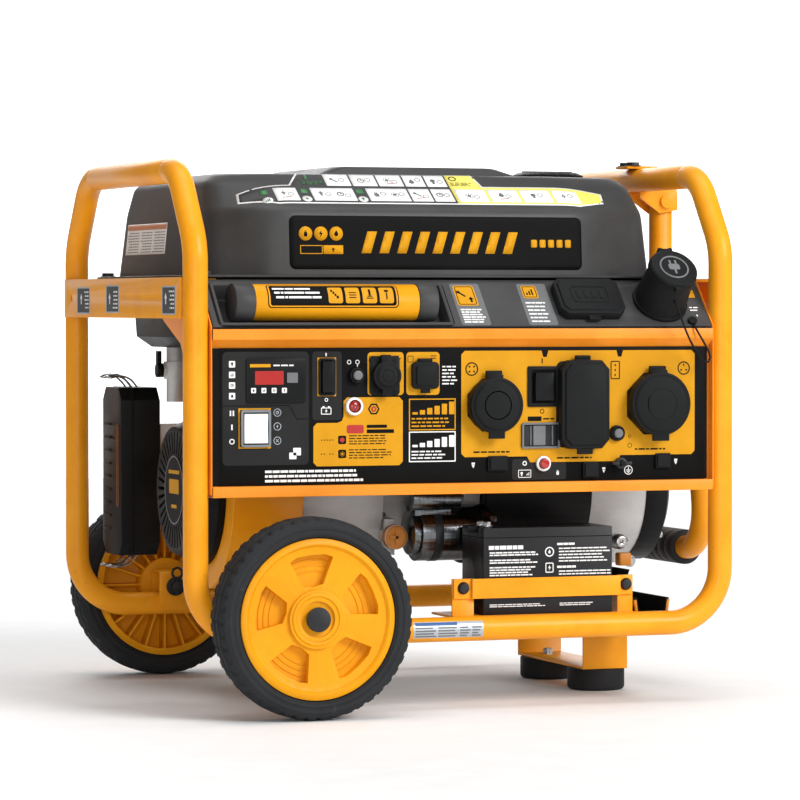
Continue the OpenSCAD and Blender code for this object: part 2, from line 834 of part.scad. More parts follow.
module canister_bar(x0, x1, r, r_in = 0) {
  on_console(0, canister_v) translate([x0, 0, 0]) rotate([0, 90, 0]) difference() {
    cylinder(h = x1 - x0, r = r);
    if (r_in > 0) translate([0, 0, -1]) cylinder(h = x1 - x0 + 2, r = r_in);
  }
}

module canister_tube() {
  color(yellow) canister_bar(canister_x[0] + 22, canister_x[1] - 22, 19.5, 17.5);
}

// end cap with a plug that enters the tube
module canister_cap(x0, x1, plug0, plug1) {
  canister_bar(x0, x1, canister_r);
  canister_bar(plug0, plug1, 17.45);
}

module canister_cap_left() {
  color(black) canister_cap(canister_x[0], canister_x[0] + 22, canister_x[0] + 22, canister_x[0] + 34);
}

module canister_cap_right() {
  color(black) canister_cap(canister_x[1] - 21.7, canister_x[1], canister_x[1] - 34, canister_x[1] - 21.7);
}

// ---- engine ----
module crank_bore(x0, x1, r) {
  xbar(x0, x1, crank_y, crank_z, r);
}

module crankcase() {
  color(cast) difference() {
    union() {
      span([block_x[0], -100, 128], [block_x[1], 70, 262]);
      crank_bore(block_x[0], block_x[1], 84);
      crank_bore(block_x[1], 50, 68);
      translate([-150, -106, 160]) cube([60, 6, 60]);
      ybar(-62, -124, -90, 181, 10);
      span([-68, -110, 160], [-56, -60, 200]);
      translate([-62, -124, 181]) rotate([90, 0, 0]) cylinder(h = 8, r = 13.5);
    }
    span([block_x[0] + 8, -90, 138], [block_x[1] - 8, 60, 252]);
    on_cylinder() translate([-38.1, -38.1, 60]) cube([76.2, 76.2, 60]);
    crank_bore(block_x[0] + 8, block_x[1] - 8, 76);
    crank_bore(block_x[1] + 6, 60, 60);
    crank_bore(block_x[0] - 1, block_x[1] + 10, shaft_r + 0.07);
  }
}

// moves children to the inclined cylinder, local Z along the bore
module on_cylinder() {
  translate([-120, crank_y, crank_z]) rotate([-65, 0, 0]) children();
}

module cylinder_head() {
  color(cast) on_cylinder() {
    translate([-38, -38, 86]) cube([76, 76, 94]);
    for (i = [0 : 8]) translate([-50, -48, 104 + 8 * i]) cube([100, 96, 3]);
    translate([-46, -44, 176]) cube([92, 88, 14]);
    translate([-40, -38, 190]) round_plate([80, 76, 22], 12);
    translate([0, 0, 212]) cylinder(h = 5, r = 8);
  }
  color(cast) on_cylinder() translate([30, -46, 150]) rotate([0, 70, 0]) cylinder(h = 40, r = 7);
}

module carburetor() {
  color(steel) {
    span([-254, 132, 262], [-214, 168, 300]);
    xbar(-254, -172, 150, 281, 14);
    translate([-234, 150, 238]) cylinder(h = 26, r = 17);
  }
}

module fan_shroud() {
  color(orange) difference() {
    crank_bore(-252, -172, 110);
    crank_bore(-249.5, -170, 107.5);
    crank_bore(-255, -245, 76);
  }
}

module recoil_cover() {
  color(black) difference() {
    union() {
      translate([-252.2, crank_y, crank_z]) rotate([0, -90, 0]) cylinder(h = 8, r = 84);
      translate([-260.2, crank_y, crank_z]) rotate([0, -90, 0]) cylinder(h = 25, r1 = 82, r2 = 70);
      span([-282, crank_y - 80, crank_z + 20], [-268, crank_y - 60, crank_z + 38]);
    }
    ybar(-275, crank_y - 90, crank_y - 40, crank_z + 29, 2.5);
    translate([-251, crank_y, crank_z]) rotate([0, -90, 0]) cylinder(h = 31, r1 = 76, r2 = 66);
    for (i = [0 : 35])
      translate([-288, crank_y, crank_z]) rotate([10 * i, 0, 0]) translate([0, -1.7, 40]) cube([40, 3.4, 24]);
  }
}

module recoil_handle() {
  color(black) {
    span([-281, crank_y - 92, crank_z + 8], [-269, crank_y - 80.4, crank_z + 50]);
    ybar(-275, crank_y - 82, crank_y + 20, crank_z + 29, 1.6);
  }
}

module crankshaft() {
  color(steel) {
    crank_bore(-246, 262, shaft_r);
    crank_bore(-244, -226, 90);
    crank_bore(-226, -218, 60);
    crank_bore(80, 190, 52);
    crank_bore(196, 206, 40);
  }
}

module air_cleaner() {
  color(black) {
    translate([-302, 125, 150]) rotate([90, 0, 90]) linear_extrude(12)
      polygon([[12, 0], [66, 0], [78, 14], [78, 178], [66, 192], [12, 192], [0, 178], [0, 14]]);
    translate([-290, 125, 150]) rotate([90, 0, 90]) linear_extrude(34)
      polygon([[0, 14], [12, 0], [78, 0], [78, 192], [12, 192], [0, 178]]);
    span([-256, 132, 262], [-254, 168, 300]);
  }
}

module muffler() {
  color(steel) {
    translate([-52, 104, 238]) rotate([90, 0, 90]) round_plate([88, 96, 112], 22);
    for (x = [-58, 60]) translate([x, 100, 234]) rotate([90, 0, 90]) round_plate([96, 104, 6], 24);
    ybar(30, 190, 214, 262, 10);
    xbar(-69.9, -52, 128, 268, 15);
  }
}

module starter_motor() {
  color(steel) {
    xbar(-39, 42, -125, 185, 31);
    xbar(42, 47, -125, 185, 27);
    xbar(-46, -39, -125, 185, 24);
    xbar(-50, 6, -140, 224, 15);
    span([-46, -148, 205], [-4, -132, 214]);
  }
}

module alternator_shell() {
  color(cast) {
    difference() {
      crank_bore(177, 244, alternator_r);
      crank_bore(170, 250, 78);
    }
    difference() {
      span([178, -98, 145], [218, 58, 172]);
      crank_bore(100, 250, alternator_r - 2);
    }
  }
}

module alternator_covers() {
  color(black) {
    difference() {
      crank_bore(51, 177, alternator_r + 1);
      crank_bore(53.5, 180, 80);
      crank_bore(50, 60, 66);
    }
    difference() {
      union() {
        crank_bore(244, 270, alternator_r + 1);
        translate([270, crank_y, crank_z]) rotate([0, 90, 0]) cylinder(h = 8, r1 = alternator_r + 1, r2 = 74);
      }
      crank_bore(243, 264, 80);
      crank_bore(240, 266, shaft_r + 0.07);
      for (i = [0 : 23])
        translate([255, crank_y, crank_z]) rotate([15 * i, 0, 0]) translate([0, -3, 42]) cube([40, 6, 26]);
    }
    difference() {
      crank_bore(252, 264, 22);
      crank_bore(240, 264, shaft_r + 0.07);
    }
  }
}

// ---- wheels ----
module on_wheel() {
  translate([axle_x, -wheel_y, axle_z]) rotate([90, 0, 0]) children();
}

module tyre_ring() {
  hw = tyre_w / 2;
  rotate_extrude($fn = 96) polygon([
    [80, -18.6], [85.4, -18.6], [86.5, -22], [91, -hw], [98, -hw], [103, -22], [106, -17], [tyre_r, -8],
    [tyre_r, 8], [106, 17], [103, 22], [98, hw], [91, hw], [86.5, 22], [85.4, 18.6], [80, 18.6]
  ]);
}

spokes = 5;
module rim_disc() {
  difference() {
    union() {
      rotate_extrude($fn = 96) polygon([
        [76, -21], [83.5, -21], [83.5, -18.8], [80, -18.8], [80, 18.8], [rim_r, 18.8], [rim_r, 21.5], [79, 23.5],
        [76, 20]
      ]);
      rotate_extrude($fn = 96) polygon([[30, 0], [77, 4], [77, 20], [70, 19], [31, 16], [30, 16]]);
      translate([0, 0, -23.5]) cylinder(h = 43.5, r = 31);
      for (i = [0 : 19]) rotate([0, 0, 18 * i]) translate([29, -1.2, -18]) cube([48, 2.4, 20]);
    }
    for (i = [0 : spokes - 1])
      rotate([0, 0, 360 / spokes * i + 24]) translate([0, 0, 7]) linear_extrude(20)
        polygon([[36, -11], [63, -24], [67, -16], [68, 0], [67, 16], [63, 24], [36, 11], [34, 0]]);
    translate([0, 0, 17]) cylinder(h = 10, r = 19);
    translate([0, 0, -30]) cylinder(h = 60, r = axle_r + 0.06);
  }
}

module tyre_front() {
  color(black) on_wheel() tyre_ring();
}

module rim_front() {
  color(yellow) on_wheel() rim_disc();
}

module tyre_rear() {
  color(black) mirror([0, 1, 0]) on_wheel() tyre_ring();
}

module rim_rear() {
  color(yellow) mirror([0, 1, 0]) on_wheel() rim_disc();
}

// ---- folding handle ----
pin_r = 5;
ear_t = 3;
ear_y = tube_r + 0.6;
module handle_bracket() {
  color(amber) {
    difference() {
      for (s = [-1, 1])
        translate([0, s > 0 ? ear_y + ear_t : -ear_y, 0]) rotate([90, 0, 0]) linear_extrude(ear_t)
          polygon([[post_right - 2, top_z + tube_r], [post_right + tube_r + 6, top_z + tube_r],
            [pivot_x + 14, pivot_z + 12], [pivot_x + 14, pivot_z - 10], [pivot_x - 8, pivot_z - 14],
            [post_right - 2, pivot_z + 4]]);
      ybar(post_right, -60, 60, top_z, tube_r + 0.02);
    }
    difference() {
      span([post_right - 18, -ear_y - ear_t, top_z + tube_r], [post_right + tube_r + 6, ear_y + ear_t,
        top_z + tube_r + 3]);
      for (y = [-10, 10]) translate([post_right - 8, y, top_z + tube_r - 1]) cylinder(h = 5, r = 4.3);
    }
    for (s = [-1, 1])
      ybar(pivot_x, s > 0 ? ear_y + ear_t : -ear_y - ear_t - 4, s > 0 ? ear_y + ear_t + 4 : -ear_y - ear_t, pivot_z, 8);
    ybar(pivot_x, -ear_y, ear_y, pivot_z, pin_r);
  }
}

// D-shaped hand loop under the stem, leaning outwards
loop_lean = atan(237 / 3116);
module hand_loop() {
  translate([grip_x, 0, grip_z]) rotate([0, -loop_lean, 0]) {
    for (s = [0, 1]) mirror([0, s, 0]) {
      translate([0, -loop_half + loop_r, loop_r]) rotate([-90, 0, -90]) bend(loop_r, 90);
      translate([0, -loop_half, loop_r]) tube(loop_h - 2 * loop_r);
      translate([0, -loop_half + loop_r, loop_h - loop_r]) rotate([90, 0, -90]) bend(loop_r, 90);
    }
    for (z = [0, loop_h])
      translate([0, -loop_half + loop_r, z]) rotate([-90, 0, 0]) tube(2 * (loop_half - loop_r));
  }
}

module handle_bar() {
  color(amber) difference() {
    union() {
      translate([pivot_x, 0, stem_z]) cylinder(h = pivot_z + tube_r - 2 - stem_z, r = tube_r);
      hand_loop();
    }
    ybar(pivot_x, -60, 60, pivot_z, pin_r + 0.06);
  }
}

// ribbed rubber grip around the loop's bottom bar
module handle_grip() {
  hw = loop_half - loop_r;
  color(black) translate([grip_x, 0, grip_z]) rotate([0, -loop_lean, 0]) rotate([90, 0, 0]) difference() {
    union() {
      for (i = [0 : 5]) translate([0, 0, -hw + 2 + i * 18.5]) cylinder(h = 17.5, r = 20);
      translate([0, 0, -hw + 1]) cylinder(h = 2 * hw - 2, r = 18.5);
    }
    translate([0, 0, -hw - 5]) cylinder(h = 2 * hw + 10, r = tube_r);
  }
}

frame_front();
frame_rear();
top_tubes();
end_plates();
cross_members();
frame_brackets();
rubber_feet();
axle_bolts();
vibration_mounts();
battery();
battery_tray();
battery_strap();
hex_bolts();
tank_upper();
tank_lower();
fuel_valve();
fuel_lever();
fuel_cap();
console();
panel_frame();
panel_plate();
panel_fittings();
inlet_cup();
cap_tether();
inlet_lid();
switch_cover();
canister_tube();
canister_cap_left();
canister_cap_right();
start_rocker();
battery_rocker();
breaker_rocker();
dc_cover();
usb_cover();
twistlock_cover();
duplex_cover();
travel_cover();
push_buttons_dc();
push_button_ac();
push_button_remote();
ground_nut();
crankcase();
cylinder_head();
carburetor();
fan_shroud();
recoil_cover();
recoil_handle();
crankshaft();
air_cleaner();
muffler();
starter_motor();
alternator_shell();
alternator_covers();
tyre_front();
rim_front();
tyre_rear();
rim_rear();
handle_bracket();
handle_bar();
handle_grip();
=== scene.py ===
import json
import math
import random

import bpy
import bmesh
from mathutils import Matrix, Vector
from mathutils.bvhtree import BVHTree
from mathutils.geometry import tessellate_polygon


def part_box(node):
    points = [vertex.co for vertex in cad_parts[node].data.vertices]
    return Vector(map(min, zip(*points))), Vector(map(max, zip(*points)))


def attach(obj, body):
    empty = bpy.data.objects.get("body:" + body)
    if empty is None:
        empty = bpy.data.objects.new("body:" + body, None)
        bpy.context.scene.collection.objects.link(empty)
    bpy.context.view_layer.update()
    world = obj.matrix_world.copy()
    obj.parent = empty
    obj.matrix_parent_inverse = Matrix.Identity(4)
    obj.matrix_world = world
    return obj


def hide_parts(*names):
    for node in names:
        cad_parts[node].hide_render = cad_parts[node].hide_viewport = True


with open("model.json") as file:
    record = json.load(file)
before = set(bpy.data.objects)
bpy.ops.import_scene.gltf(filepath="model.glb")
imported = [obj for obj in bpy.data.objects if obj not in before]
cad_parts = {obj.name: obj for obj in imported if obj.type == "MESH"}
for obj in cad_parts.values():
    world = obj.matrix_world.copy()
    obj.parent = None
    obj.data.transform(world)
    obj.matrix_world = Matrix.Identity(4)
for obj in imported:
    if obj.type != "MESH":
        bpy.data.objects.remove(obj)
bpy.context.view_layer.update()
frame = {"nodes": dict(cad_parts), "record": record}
random.seed(11)
NODES = frame["nodes"]
MM = 0.001
TAU = 2 * math.pi


# ---- camera ----
def make_camera():
    data = bpy.data.cameras.new("camera")
    data.lens = 177.75
    data.sensor_width = 36
    data.clip_end = 60
    cam = bpy.data.objects.new("camera", data)
    cam.location = (-1.5419, -4.2097, 0.4385)
    yaw, pitch = math.radians(20), math.radians(-1.407)
    aim = Vector((math.sin(yaw) * math.cos(pitch), math.cos(yaw) * math.cos(pitch), math.sin(pitch)))
    cam.rotation_euler = aim.to_track_quat("-Z", "Y").to_euler()
    bpy.context.collection.objects.link(cam)
    bpy.context.scene.camera = cam


make_camera()


# ---- materials ----
def rgb(code):
    """Linear colour from a six-figure screen colour."""
    parts = [int(code[i:i + 2], 16) / 255 for i in (0, 2, 4)]
    return tuple(p / 12.92 if p <= 0.04045 else ((p + 0.055) / 1.055) ** 2.4 for p in parts) + (1.0,)


def put(node, **values):
    """Set a node's input sockets by name, with underscores for spaces."""
    for name, value in values.items():
        node.inputs[name.replace("_", " ")].default_value = value
    return node


def material(name, light, dark, rough=(0.35, 0.5), metal=0.0, coat=0.0, blotch=18, grain=900, bump=0.05,
             streak=None, fleck=None, fleck_at=0.62, fleck_scale=160, shine=0.5):
    """Principled surface: broad mottling, roughness variation, fine relief, and optional worn flecks."""
    m = bpy.data.materials.new(name)
    m.use_nodes = True
    n, link = m.node_tree.nodes, m.node_tree.links.new
    shader = put(n["Principled BSDF"], Metallic=metal, Specular_IOR_Level=shine)
    if coat:
        put(shader, Coat_Weight=coat, Coat_Roughness=0.18)
    space = n.new("ShaderNodeMapping")
    link(n.new("ShaderNodeTexCoord").outputs["Object"], space.inputs["Vector"])
    if streak:
        put(space, Scale=streak)

    def noise(**values):
        made = put(n.new("ShaderNodeTexNoise"), **values)
        link(space.outputs["Vector"], made.inputs["Vector"])
        return made.outputs["Fac"]

    def remap(value, **limits):
        made = put(n.new("ShaderNodeMapRange"), **limits)
        link(value, made.inputs["Value"])
        return made.outputs["Result"]

    broad = noise(Scale=blotch, Detail=5, Roughness=0.6)
    ramp = n.new("ShaderNodeValToRGB")
    for stop, at, code in zip(ramp.color_ramp.elements, (0.32, 0.62), (dark, light)):
        stop.position = at
        stop.color = rgb(code)
    link(broad, ramp.inputs["Fac"])
    colour = ramp.outputs["Color"]
    if fleck:
        mix = n.new("ShaderNodeMix")
        mix.data_type = "RGBA"
        spots = noise(Scale=fleck_scale, Detail=4)
        link(remap(spots, From_Min=fleck_at, From_Max=fleck_at + 0.08), mix.inputs["Factor"])
        link(colour, mix.inputs["A"])
        put(mix, B=rgb(fleck))
        colour = mix.outputs["Result"]
    link(colour, shader.inputs["Base Color"])
    link(remap(broad, From_Min=0.3, From_Max=0.7, To_Min=rough[0], To_Max=rough[1]), shader.inputs["Roughness"])
    relief = put(n.new("ShaderNodeBump"), Strength=bump, Distance=0.001)
    link(noise(Scale=grain, Detail=3), relief.inputs["Height"])
    link(relief.outputs["Normal"], shader.inputs["Normal"])
    return m


def glow(m, colour, strength):
    put(m.node_tree.nodes["Principled BSDF"], Emission_Color=colour, Emission_Strength=strength)
    return m


def lit(name, colour, strength):
    """Small indicator lens, faintly lit."""
    return glow(material(name, colour, colour, rough=(0.12, 0.2), coat=0.6, bump=0.02), rgb(colour), strength)


AMBER = material("amber_powder_coat", "f8a41c", "ee9711", (0.32, 0.44), coat=0.06, grain=1500, bump=0.06,
                 fleck="d5860f", fleck_at=0.70, fleck_scale=90, shine=0.22)
ORANGE = material("orange_sheet_paint", "f4942a", "e8881f", (0.36, 0.48), coat=0.05, grain=1500, bump=0.05, shine=0.22)
YELLOW = material("yellow_moulded", "e99f0c", "e19508", (0.38, 0.5), grain=1300, bump=0.08, shine=0.2)
LABEL = material("yellow_label", "d8991a", "cd9015", (0.45, 0.55), grain=2200, bump=0.03, shine=0.12)
TANK = material("tank_satin", "3e3e3e", "353535", (0.44, 0.54), coat=0.05, grain=1800, bump=0.10, shine=0.28)
CONSOLE = material("console_satin", "454546", "3c3c3d", (0.42, 0.52), grain=1700, bump=0.14, shine=0.2)
BLACK = material("black_plate", "111111", "0c0c0c", (0.55, 0.65), grain=2000, bump=0.06, shine=0.08)
MODULE = material("dark_grey_label", "2b2b2b", "252525", (0.55, 0.65), grain=2200, bump=0.05, shine=0.08)
COVER = material("black_elastomer", "18191a", "121314", (0.48, 0.6), grain=1500, bump=0.16, shine=0.14)
PLASTIC = material("black_plastic", "151617", "101112", (0.38, 0.5), grain=1500, bump=0.14, shine=0.14)
GREY = material("grey_plastic", "6f7173", "626466", (0.4, 0.5), grain=1800, bump=0.08)
BEZEL_GREY = material("bezel_grey", "7b8085", "6e7378", (0.35, 0.45), metal=0.2, grain=1800, bump=0.04)
WHITE = material("white_print", "f0f0ee", "e6e6e4", (0.4, 0.5), grain=2000, bump=0.03, shine=0.3)
WHITE_PART = material("white_plastic", "f2f2f2", "e9e9e9", (0.25, 0.35), coat=0.3, grain=1500, bump=0.04)
RED = material("red_print", "b31f18", "a71a14", (0.4, 0.5), grain=2000, bump=0.03)
GREEN = material("green_print", "3f7d4a", "37713f", (0.4, 0.5), grain=2000, bump=0.03)
TYRE = material("tyre_rubber", "27292c", "1d1f21", (0.68, 0.85), blotch=30, grain=900, bump=0.35,
                fleck="3a3c3f", fleck_at=0.66, fleck_scale=60, shine=0.3)
RUBBER = material("feet_rubber", "202123", "17181a", (0.6, 0.75), grain=900, bump=0.3, shine=0.3)
ZINC = material("zinc_plated", "c9cbcc", "a9acaf", (0.22, 0.38), metal=1.0, blotch=80, grain=2500, bump=0.08)
STEEL = material("turned_steel", "b4b6b8", "94979a", (0.25, 0.4), metal=1.0, blotch=60, grain=2500, bump=0.08,
                 streak=(8, 1, 1))
CAST = material("cast_alloy", "cdcecd", "bfc0c0", (0.42, 0.58), metal=0.25, blotch=30, grain=900, bump=0.3,
                fleck="9c9d9d", fleck_at=0.70, fleck_scale=420)
# starter's chrome, with its base colour darkened to paint in the reflection of dark surroundings
CHROME_PAINTED_DARK_REFLECTION = material("chrome_painted_dark_reflection", "75787b", "55585b", (0.14, 0.26), metal=1.0, blotch=60, grain=2500, bump=0.05,
                  streak=(8, 1, 1))
MUFFLER = material("aluminised_steel", "9d9c98", "7e7c77", (0.35, 0.55), metal=0.85, blotch=25, grain=900, bump=0.2,
                   fleck="8a7258", fleck_at=0.64, fleck_scale=45)
DARK_STEEL = material("blackened_steel", "353638", "28292b", (0.35, 0.5), metal=0.5, grain=1500, bump=0.12, shine=0.3)
BATTERY = material("battery_case", "1b1b1e", "151518", (0.34, 0.46), grain=1700, bump=0.12, shine=0.3)
BROWN = material("filter_seal", "8a4f22", "6f3d18", (0.5, 0.6), grain=900, bump=0.2)
CAP_ORANGE = material("oil_cap", "c67d1c", "b26c16", (0.42, 0.52), grain=1200, bump=0.15)
RED_LENS = lit("red_lens", "8e100e", 0.08)
RED_GLOW = lit("red_display", "a8211c", 0.05)
SILVER = material("silver_label", "b9c0c6", "a6adb4", (0.3, 0.42), metal=0.35, grain=1800, bump=0.03)
BLUE = material("blue_print", "2c5f9e", "264f86", (0.4, 0.5), grain=2000, bump=0.03)
WELD = material("weld_bead", "dd8f16", "c37a10", (0.35, 0.5), blotch=200, grain=700, bump=0.5)

SLOTS = {
    "frame_paint": AMBER, "panel_paint": ORANGE, "black_paint": BLACK, "rubber": RUBBER, "tyre": TYRE,
    "rim_plastic": YELLOW, "dark_steel": DARK_STEEL, "battery_plastic": BATTERY, "tank_paint": TANK,
    "console_plastic": CONSOLE, "label": LABEL, "black_plastic": PLASTIC, "white_plastic": WHITE_PART,
    "red_plastic": RED_LENS, "bright_steel": STEEL, "cast_alloy": CAST,
}


# ---- the CAD nodes' finish ----
def round_edges(o, width, harden):
    """Small rounded edge, width in mm, wherever two faces meet at more than 34 degrees."""
    b = o.modifiers.new("edge", "BEVEL")
    b.width = width * MM
    b.segments = 2
    b.limit_method = "ANGLE"
    b.angle_limit = math.radians(34)
    b.harden_normals = harden


def shade_smooth(data):
    data.polygons.foreach_set("use_smooth", [True] * len(data.polygons))


def dress(o, mat, edge):
    """Material, smooth shading and rounded edges on a CAD object, by modifiers only."""
    o.data.materials.clear()
    o.data.materials.append(mat)
    o.data.polygons.foreach_set("material_index", [0] * len(o.data.polygons))
    shade_smooth(o.data)
    o.modifiers.new("weld", "WELD").merge_threshold = 0.00001
    flat = o.modifiers.new("flat", "DECIMATE")
    flat.decimate_type = "DISSOLVE"
    flat.angle_limit = math.radians(0.4)
    round_edges(o, edge, True)


# CAD nodes grouped by material and edge width in mm, where they differ from the slot's material and 0.6 mm
FINISHES = (
    (PLASTIC, 2.0, "tank_lower air_cleaner"), (PLASTIC, 1.2, "alternator_covers"), (PLASTIC, 1.0, "fuel_cap"),
    (PLASTIC, 0.8, "recoil_cover"), (PLASTIC, 0.6, "battery_rocker breaker_rocker"), (PLASTIC, 0.4, "panel_fittings"),
    (CONSOLE, 1.0, "console"), (CONSOLE, 0.8, "canister_cap_left canister_cap_right"), (ORANGE, 0.5, "panel_frame"),
    (AMBER, 1.2, "fan_shroud"), (CAST, 1.5, "crankcase"), (CAST, 1.0, "alternator_shell"),
    (CAST, 0.8, "carburetor fuel_valve"), (CAST, 0.6, "cylinder_head"), (MUFFLER, 1.5, "muffler"),
    (CHROME_PAINTED_DARK_REFLECTION, 1.0, "starter_motor"), (YELLOW, 0.8, "rim_front rim_rear"), (YELLOW, 0.4, "canister_tube"),
    (RUBBER, 1.5, "handle_grip rubber_feet"), (RUBBER, 1.0, "vibration_mounts"), (BATTERY, 1.0, "battery"),
    (COVER, 1.2, "switch_cover inlet_lid"), (COVER, 0.9, "twistlock_cover duplex_cover travel_cover"),
    (COVER, 0.8, "inlet_cup"), (COVER, 0.7, "dc_cover usb_cover"), (WHITE_PART, 0.8, "start_rocker"),
    (DARK_STEEL, 0.5, "axle_bolts"), (DARK_STEEL, 0.4, "hex_bolts ground_nut"), (RED_GLOW, 0.6, "push_button_remote"),
    (GREY, 0.6, "push_button_ac push_buttons_dc"), (BLACK, 0.3, "panel_plate"),
)
SPECIAL = {node_name: (mat, edge) for mat, edge, names in FINISHES for node_name in names.split()}
REPLACED = ("cap_tether", "tyre_front", "tyre_rear", "tank_upper")
subslot = {p["node"]: p["material_slot"] for p in frame["record"]["subparts"]}
for node_name, node_object in NODES.items():
    if node_name not in REPLACED:
        dress(node_object, *SPECIAL.get(node_name, (SLOTS[subslot[node_name]], 0.6)))


# ---- builders ----
def add_mesh(name, verts, faces, mat, body="chassis", smooth=False, bevel=0.0):
    """New piece from points in metres, riding on a body; its faces are turned outward."""
    data = bpy.data.meshes.new(name)
    data.from_pydata([tuple(v) for v in verts], [], faces)
    data.materials.append(mat)
    bm = bmesh.new()
    bm.from_mesh(data)
    bmesh.ops.recalc_face_normals(bm, faces=bm.faces)
    bm.to_mesh(data)
    bm.free()
    if smooth:
        shade_smooth(data)
    o = bpy.data.objects.new(name, data)
    bpy.context.collection.objects.link(o)
    if bevel:
        round_edges(o, bevel, smooth)
    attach(o, body)
    return o


def rrect(x0, y0, x1, y1, r=0.0, steps=5):
    """Rounded rectangle as a list of points."""
    if r <= 0:
        return [(x0, y0), (x1, y0), (x1, y1), (x0, y1)]
    pts = []
    for cx, cy, a in ((x1 - r, y0 + r, -90), (x1 - r, y1 - r, 0), (x0 + r, y1 - r, 90), (x0 + r, y0 + r, 180)):
        for i in range(steps + 1):
            t = math.radians(a + 90 * i / steps)
            pts.append((cx + r * math.cos(t), cy + r * math.sin(t)))
    return pts


def disc(cx, cy, r, n=32):
    return [(cx + r * math.cos(TAU * i / n), cy + r * math.sin(TAU * i / n)) for i in range(n)]


def hoop(cx, cy, r, w, n=32):
    """Ring between two circles, as a loop pair."""
    return ("loop", disc(cx, cy, r, n), disc(cx, cy, r - w, n))


def box_line(x0, y0, x1, y1, r, w):
    return ("loop", rrect(x0, y0, x1, y1, r), rrect(x0 + w, y0 + w, x1 - w, y1 - w, max(r - w, 0.01)))


def stroke(a, b, w):
    """Thin bar from a to b."""
    d = (Vector(b) - Vector(a)).normalized() * w / 2
    n = Vector((-d.y, d.x))
    return [tuple(Vector(a) - n), tuple(Vector(b) - n), tuple(Vector(b) + n), tuple(Vector(a) + n)]


def rows(x0, y0, x1, y1, count, thick, seed, gap=1.4):
    """Short printed bars standing for lines of small print."""
    rnd = random.Random(seed)
    out = []
    for i in range(count):
        y = y1 - (y1 - y0) * (i + 0.5) / count
        x = x0
        end = x1 - rnd.uniform(0, 0.22) * (x1 - x0)
        while x < end - 2:
            w = min(rnd.uniform(3, 9), end - x)
            out.append(rrect(x, y - thick / 2, x + w, y + thick / 2))
            x += w + gap
    return out


def each(make, *specs):
    """One shape per spec."""
    return [make(*spec) for spec in specs]


def every(make, *specs):
    """All shapes of makers that return lists, such as rows and glyph."""
    return [shape for spec in specs for shape in make(*spec)]


def tube_faces(a, b, n):
    """Quads between two rings of n points that start at a and b."""
    return [(a + k, a + (k + 1) % n, b + (k + 1) % n, b + k) for k in range(n)]


def art(name, mat, shapes, place, body="chassis", lift=0.25, thick=0.15):
    """Flat printed or cut shapes, given in mm on a plane, as one thin solid piece.

    A shape is a list of points, ("loop", outer, inner), or ("windows", outer, [hole, ...]).
    """
    verts, faces = [], []

    def put_points(pts, h):
        start = len(verts)
        verts.extend(place(x, y, h) for x, y in pts)
        return start

    for s in shapes:
        if s[0] == "loop":
            outer, inner = s[1], s[2]
            n = len(outer)
            o1, i1 = put_points(outer, lift + thick), put_points(inner, lift + thick)
            o0, i0 = put_points(outer, lift), put_points(inner, lift)
            for a, b in ((o1, i1), (o0, o1), (i1, i0), (i0, o0)):
                faces += tube_faces(a, b, n)
        elif s[0] == "windows":
            loops = [s[1]] + s[2]
            tris = tessellate_polygon([[Vector((x, y, 0)) for x, y in loop] for loop in loops])
            flat = [p for loop in loops for p in loop]
            top, low = put_points(flat, lift + thick), put_points(flat, lift)
            faces += [tuple(top + k for k in t) for t in tris] + [tuple(low + k for k in reversed(t)) for t in tris]
            start = 0
            for loop in loops:
                faces += tube_faces(low + start, top + start, len(loop))
                start += len(loop)
        else:
            n = len(s)
            top, low = put_points(s, lift + thick), put_points(s, lift)
            faces += [tuple(range(top, top + n)), tuple(range(low + n - 1, low - 1, -1))] + tube_faces(low, top, n)
    return add_mesh(name, verts, faces, mat, body)


PANEL_Y = -240
TILT = math.radians(46.5)
CONSOLE_Y, CONSOLE_Z = -249, 411.4
LID_X, LID_V, LID_H = 213, 38.9, 47.4
AXIS_Y, AXIS_Z = -30, 232


def on_panel(x, z, h):
    """Point h mm in front of the label plate."""
    return Vector((x, PANEL_Y - h, z)) * MM


def on_console(x, v, h):
    """Point v mm up the console's slope and h mm above it."""
    return Vector((x, CONSOLE_Y + v * math.cos(TILT) - h * math.sin(TILT),
                   CONSOLE_Z + v * math.sin(TILT) + h * math.cos(TILT))) * MM


def on_plane(axis, at, way=-1):
    """Maps (a, b, h) to a plane square to X or Y, with h mm toward way."""
    def place(a, b, h):
        p = (at + way * h, a, b) if axis == "x" else (a, at + way * h, b)
        return Vector(p) * MM
    return place


def along_x(x0, y0, z0):
    return lambda a, b, h: Vector((x0 + h, y0 + a, z0 + b)) * MM


def along_y(x0, y0, z0, way=-1):
    return lambda a, b, h: Vector((x0 + a, y0 + way * h, z0 + b)) * MM


def along_z(x0, y0, z0):
    return lambda a, b, h: Vector((x0 + a, y0 + b, z0 + h)) * MM


def lathe(name, profile, place, mat, body="chassis", n=64):
    """Profile of (radius, height) points turned about the local height axis; place maps (x, y, h) to metres."""
    m = len(profile)
    verts = [place(r * math.cos(TAU * i / n), r * math.sin(TAU * i / n), h) for i in range(n) for r, h in profile]
    faces = [(i * m + k, j * m + k, j * m + q, i * m + q)
             for i, j in ((i, (i + 1) % n) for i in range(n)) for k, q in ((k, (k + 1) % m) for k in range(m))]
    return add_mesh(name, verts, faces, mat, body, smooth=True)


